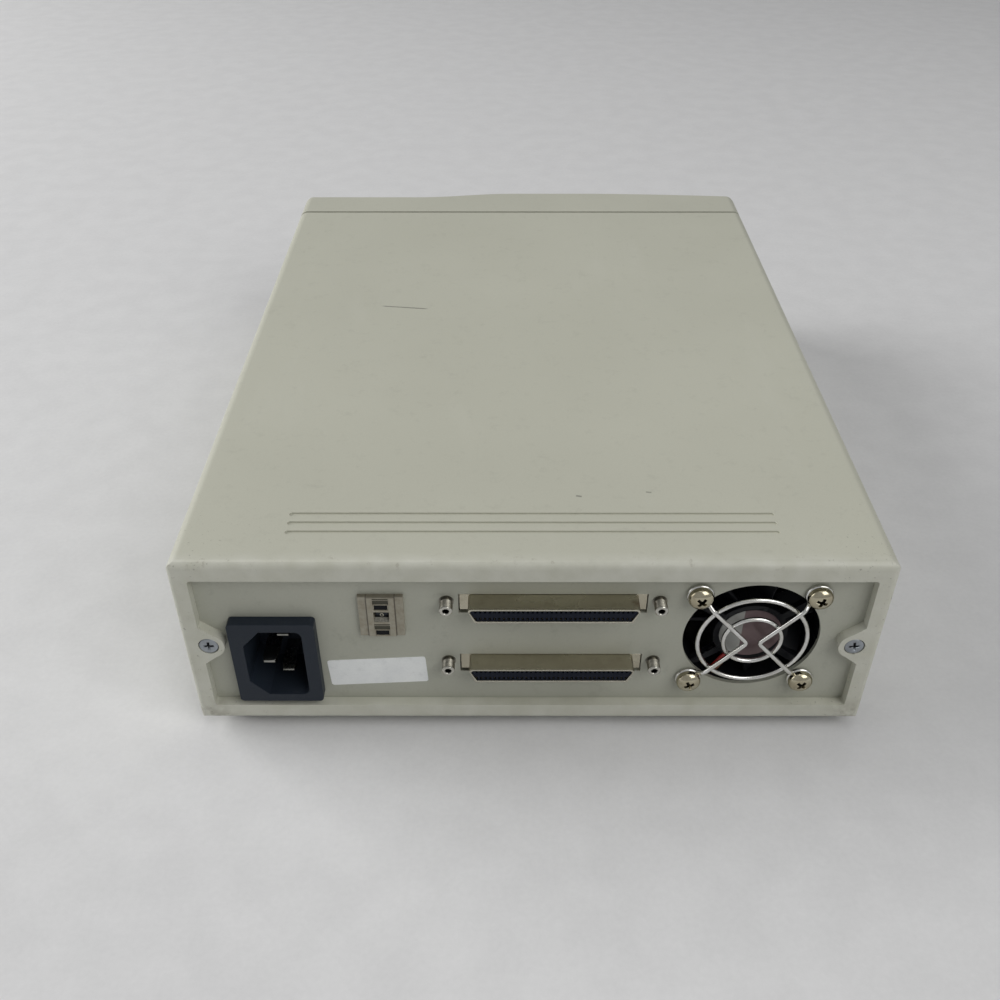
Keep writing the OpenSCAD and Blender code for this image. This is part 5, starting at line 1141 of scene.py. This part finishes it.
# %% Wheel and its digits
# Plain figures 0 to 9, printed round the wheel one step apart, upright when they reach the window.
DIGIT_H, FIRST_TURN, STEP, PRINT_T = 1.6, 12.0, 36.0, 0.02
UPRIGHT = Matrix(((-1, 0, 0, 0), (0, 0, 1, 0), (0, 1, 0, 0), (0, 0, 0, 1)))


def digit(k):
    """A figure as a thin raised print on the wheel's rim."""
    text = bpy.data.curves.new("digit", "FONT")
    text.body = str(k)
    text.size = DIGIT_H * 1.4 * MM
    text.align_x, text.align_y = "CENTER", "CENTER"
    text.extrude = PRINT_T * MM
    text.offset = 0.03 * MM
    source = link("digit_text", text)
    mesh = shown_mesh(source)
    drop(source)
    outwards = Matrix.Translation((0, 0, (WHEEL_R - PRINT_T / 2) * MM))
    turn = Matrix.Rotation(math.radians(STEP * k - FIRST_TURN), 4, "X")
    mesh.transform(Matrix.Translation(AXLE * MM) @ turn @ UPRIGHT @ outwards)
    return link("digit", mesh)


stands_for(dress(disc("number_wheel", WHEEL_R, WHEEL_W / 2, 0.2), wheel_grey), "id_wheel")
beside(dress(joined("wheel_digits", [digit(k) for k in range(10)]), ivory), "id_wheel")

# %% [markdown]
# ## Data ports
#
# Each port is a nickel-plated shell round a dark insulator with two rows of contacts, held by two
# jackscrews. There are 136 contact springs, so a tree lays one spring out on a grid.

# %% Shells, insulators and contact springs
CONTACTS, PITCH, ROW_Z = 34, 1.27, 1.55
SPRING_Y = PANEL_Y + 6.15 - 1.6
skin("connector_shells", shell_metal, 0.08)
skin("connector_inserts", insert_black, 0.06)
spring = round_edges(box("spring", (-0.14, -0.07, -0.9), (0.14, 0.07, 0.9)), 0.05, 1)
places = [(PORT_X + (k - (CONTACTS - 1) / 2) * PITCH, SPRING_Y, z + row * ROW_Z)
          for z in PORT_ZS for row in (-1, 1) for k in range(CONTACTS)]
springs = set_pieces("contact_springs", spring, places, spring_metal, turn=0.0)
beside(springs, "connector_inserts")

# %% [markdown]
# ## Jackscrews
#
# A jackscrew is a short barrel on a neck, with a worn thread outside and a bore for the plug's
# screw. The thread is drawn as rings and not as a helix, which nobody could tell at this size.

# %% Jackscrews
BARREL_R, BARREL_FROM, BARREL_TO, BORE_R = 1.8, 1.5, 4.3, 0.8
THREAD_DEEP, THREAD_STEP, TURNS = 0.13, 0.2, 15
thread = [(BARREL_R - THREAD_DEEP * (k % 2), BARREL_TO - 0.3 - THREAD_STEP * k) for k in range(TURNS)]
JACK_PROFILE = [(0, 0.9), (BORE_R, 0.9), (BORE_R, BARREL_TO - 0.2), (BORE_R + 0.2, BARREL_TO),
                (BARREL_R - 0.25, BARREL_TO), (BARREL_R, BARREL_TO - 0.2)]
JACK_PROFILE += thread + [(1.4, BARREL_FROM), (1.4, 0.35), (2.0, 0.3), (2.0, 0.0), (1.3, 0.0),
                          (1.3, -5.0), (0, -5.0)]


def in_bore(place):
    """1 inside the bore of a jackscrew, and 0 elsewhere."""
    return float(math.hypot(place.x, place.y) < BORE_R + 0.05 and 0 < place.z < BARREL_TO - 0.1)


jack = lathe("jack", JACK_PROFILE)
mark_recess(jack, in_bore)
places = [(PORT_X + side * JACK_PITCH / 2, PANEL_Y, z) for z in PORT_ZS for side in (-1, 1)]
stands_for(set_pieces("jackscrew_set", jack, places, jack_metal, seed=2), "jackscrews")

# %% [markdown]
# ## Front of the drive
#
# The drive's own front shows in the bezel's window: a slot with a hinged door, an eject button
# and two lamps. The power button sits beside it. All keep their CAD shapes, with rounded edges.

# %% Drive front, door and keys
skin("drive_front", drive_beige, 0.25)
skin("cassette_door", drive_beige, 0.2)
skin("eject_button", grey_plastic, 0.35, segments=3)
skin("power_button", grey_plastic, 0.4, segments=3)

# %% [markdown]
# ## Stage, light and camera
#
# The photograph is taken from behind and above, on a pale table in an ordinary room. A broad
# window at the left of the picture gives most of the light, so the soft shadow falls to the
# right, and the room behind the camera lights the panel. Four area lights and a dim grey room do
# the same.

# %% Floor
FLOOR_HALF = 4000.0
floor = link("floor", mesh_of("floor", [(x * FLOOR_HALF, y * FLOOR_HALF, 0) for x, y in CORNERS],
                              [(0, 1, 2, 3)]))
floor.data.materials.append(material(
    "table", (0.73, 0.73, 0.735), (0.7, 0.7, 0.705), drift_scale=70,
    grain=(0.3, 600), grime=(0.02, 60), rough=(0.7, 0.8), specular=0.2))
print("floor", 2 * FLOOR_HALF, "mm wide")

# %% Lights
# The room lights the table weakly, and is seen, also in the metal, as a paler grey.
ROOM_LIGHT, ROOM_SEEN = 0.13, 0.42
DAYLIGHT, WHITE = (1.0, 0.995, 0.985), (1, 1, 1)
world = bpy.data.worlds.new("soft_room")
world.use_nodes = True
sky = Tree(world.node_tree)
backdrop = sky.nodes["Background"]
rays = sky.add("ShaderNodeLightPath").outputs
seen = sky.math("MAXIMUM", rays["Is Camera Ray"], rays["Is Glossy Ray"])
seen = sky.math("MAXIMUM", seen, rays["Is Transmission Ray"])
sky.feed(backdrop, "Color", (0.97, 0.985, 1.0))
sky.feed(backdrop, "Strength", sky.ramp(seen, 0.0, 1.0, ROOM_LIGHT, ROOM_SEEN))
scene.world = world


def area_light(name, place, size, power, colour):
    """A square light that faces the object, with its place and size in metres."""
    light = bpy.data.lights.new(name, "AREA")
    light.shape = "SQUARE"
    light.size = size
    light.energy = power
    light.color = colour
    obj = link(name, light)
    obj.location = place
    obj.rotation_euler = (-Vector(place)).to_track_quat("-Z", "Y").to_euler()
    print(name, power, "W")


area_light("window", (1.8, -0.6, 1.0), 1.2, 25.0, DAYLIGHT)
area_light("ceiling", (0.0, 0.0, 1.8), 1.2, 4.6, WHITE)
area_light("low_window", (1.6, 0.1, 0.6), 1.0, 6.5, WHITE)
area_light("room_behind_camera", (-0.8, 0.9, 1.1), 1.1, 10.5, DAYLIGHT)

# %% Camera
# Solved from the photograph: 37.3 degrees down, 207 mm behind the rim and 239 mm above the
# case's underside. It is turned half round, to see the back.
DOWN, TURN = 37.343, 180.056
lens = bpy.data.cameras.new("photo_view")
lens.sensor_width = 36.0
lens.lens = 37.853
camera = link("photo_view", lens)
camera.location = Vector((8.5, RIM_Y + 206.75, FOOT_H + 238.8)) * MM
camera.rotation_euler = (math.radians(90 - DOWN), 0, math.radians(TURN))
scene.camera = camera
print("camera at", *camera.location)

# %% Finish
scene.view_settings.view_transform = "Standard"
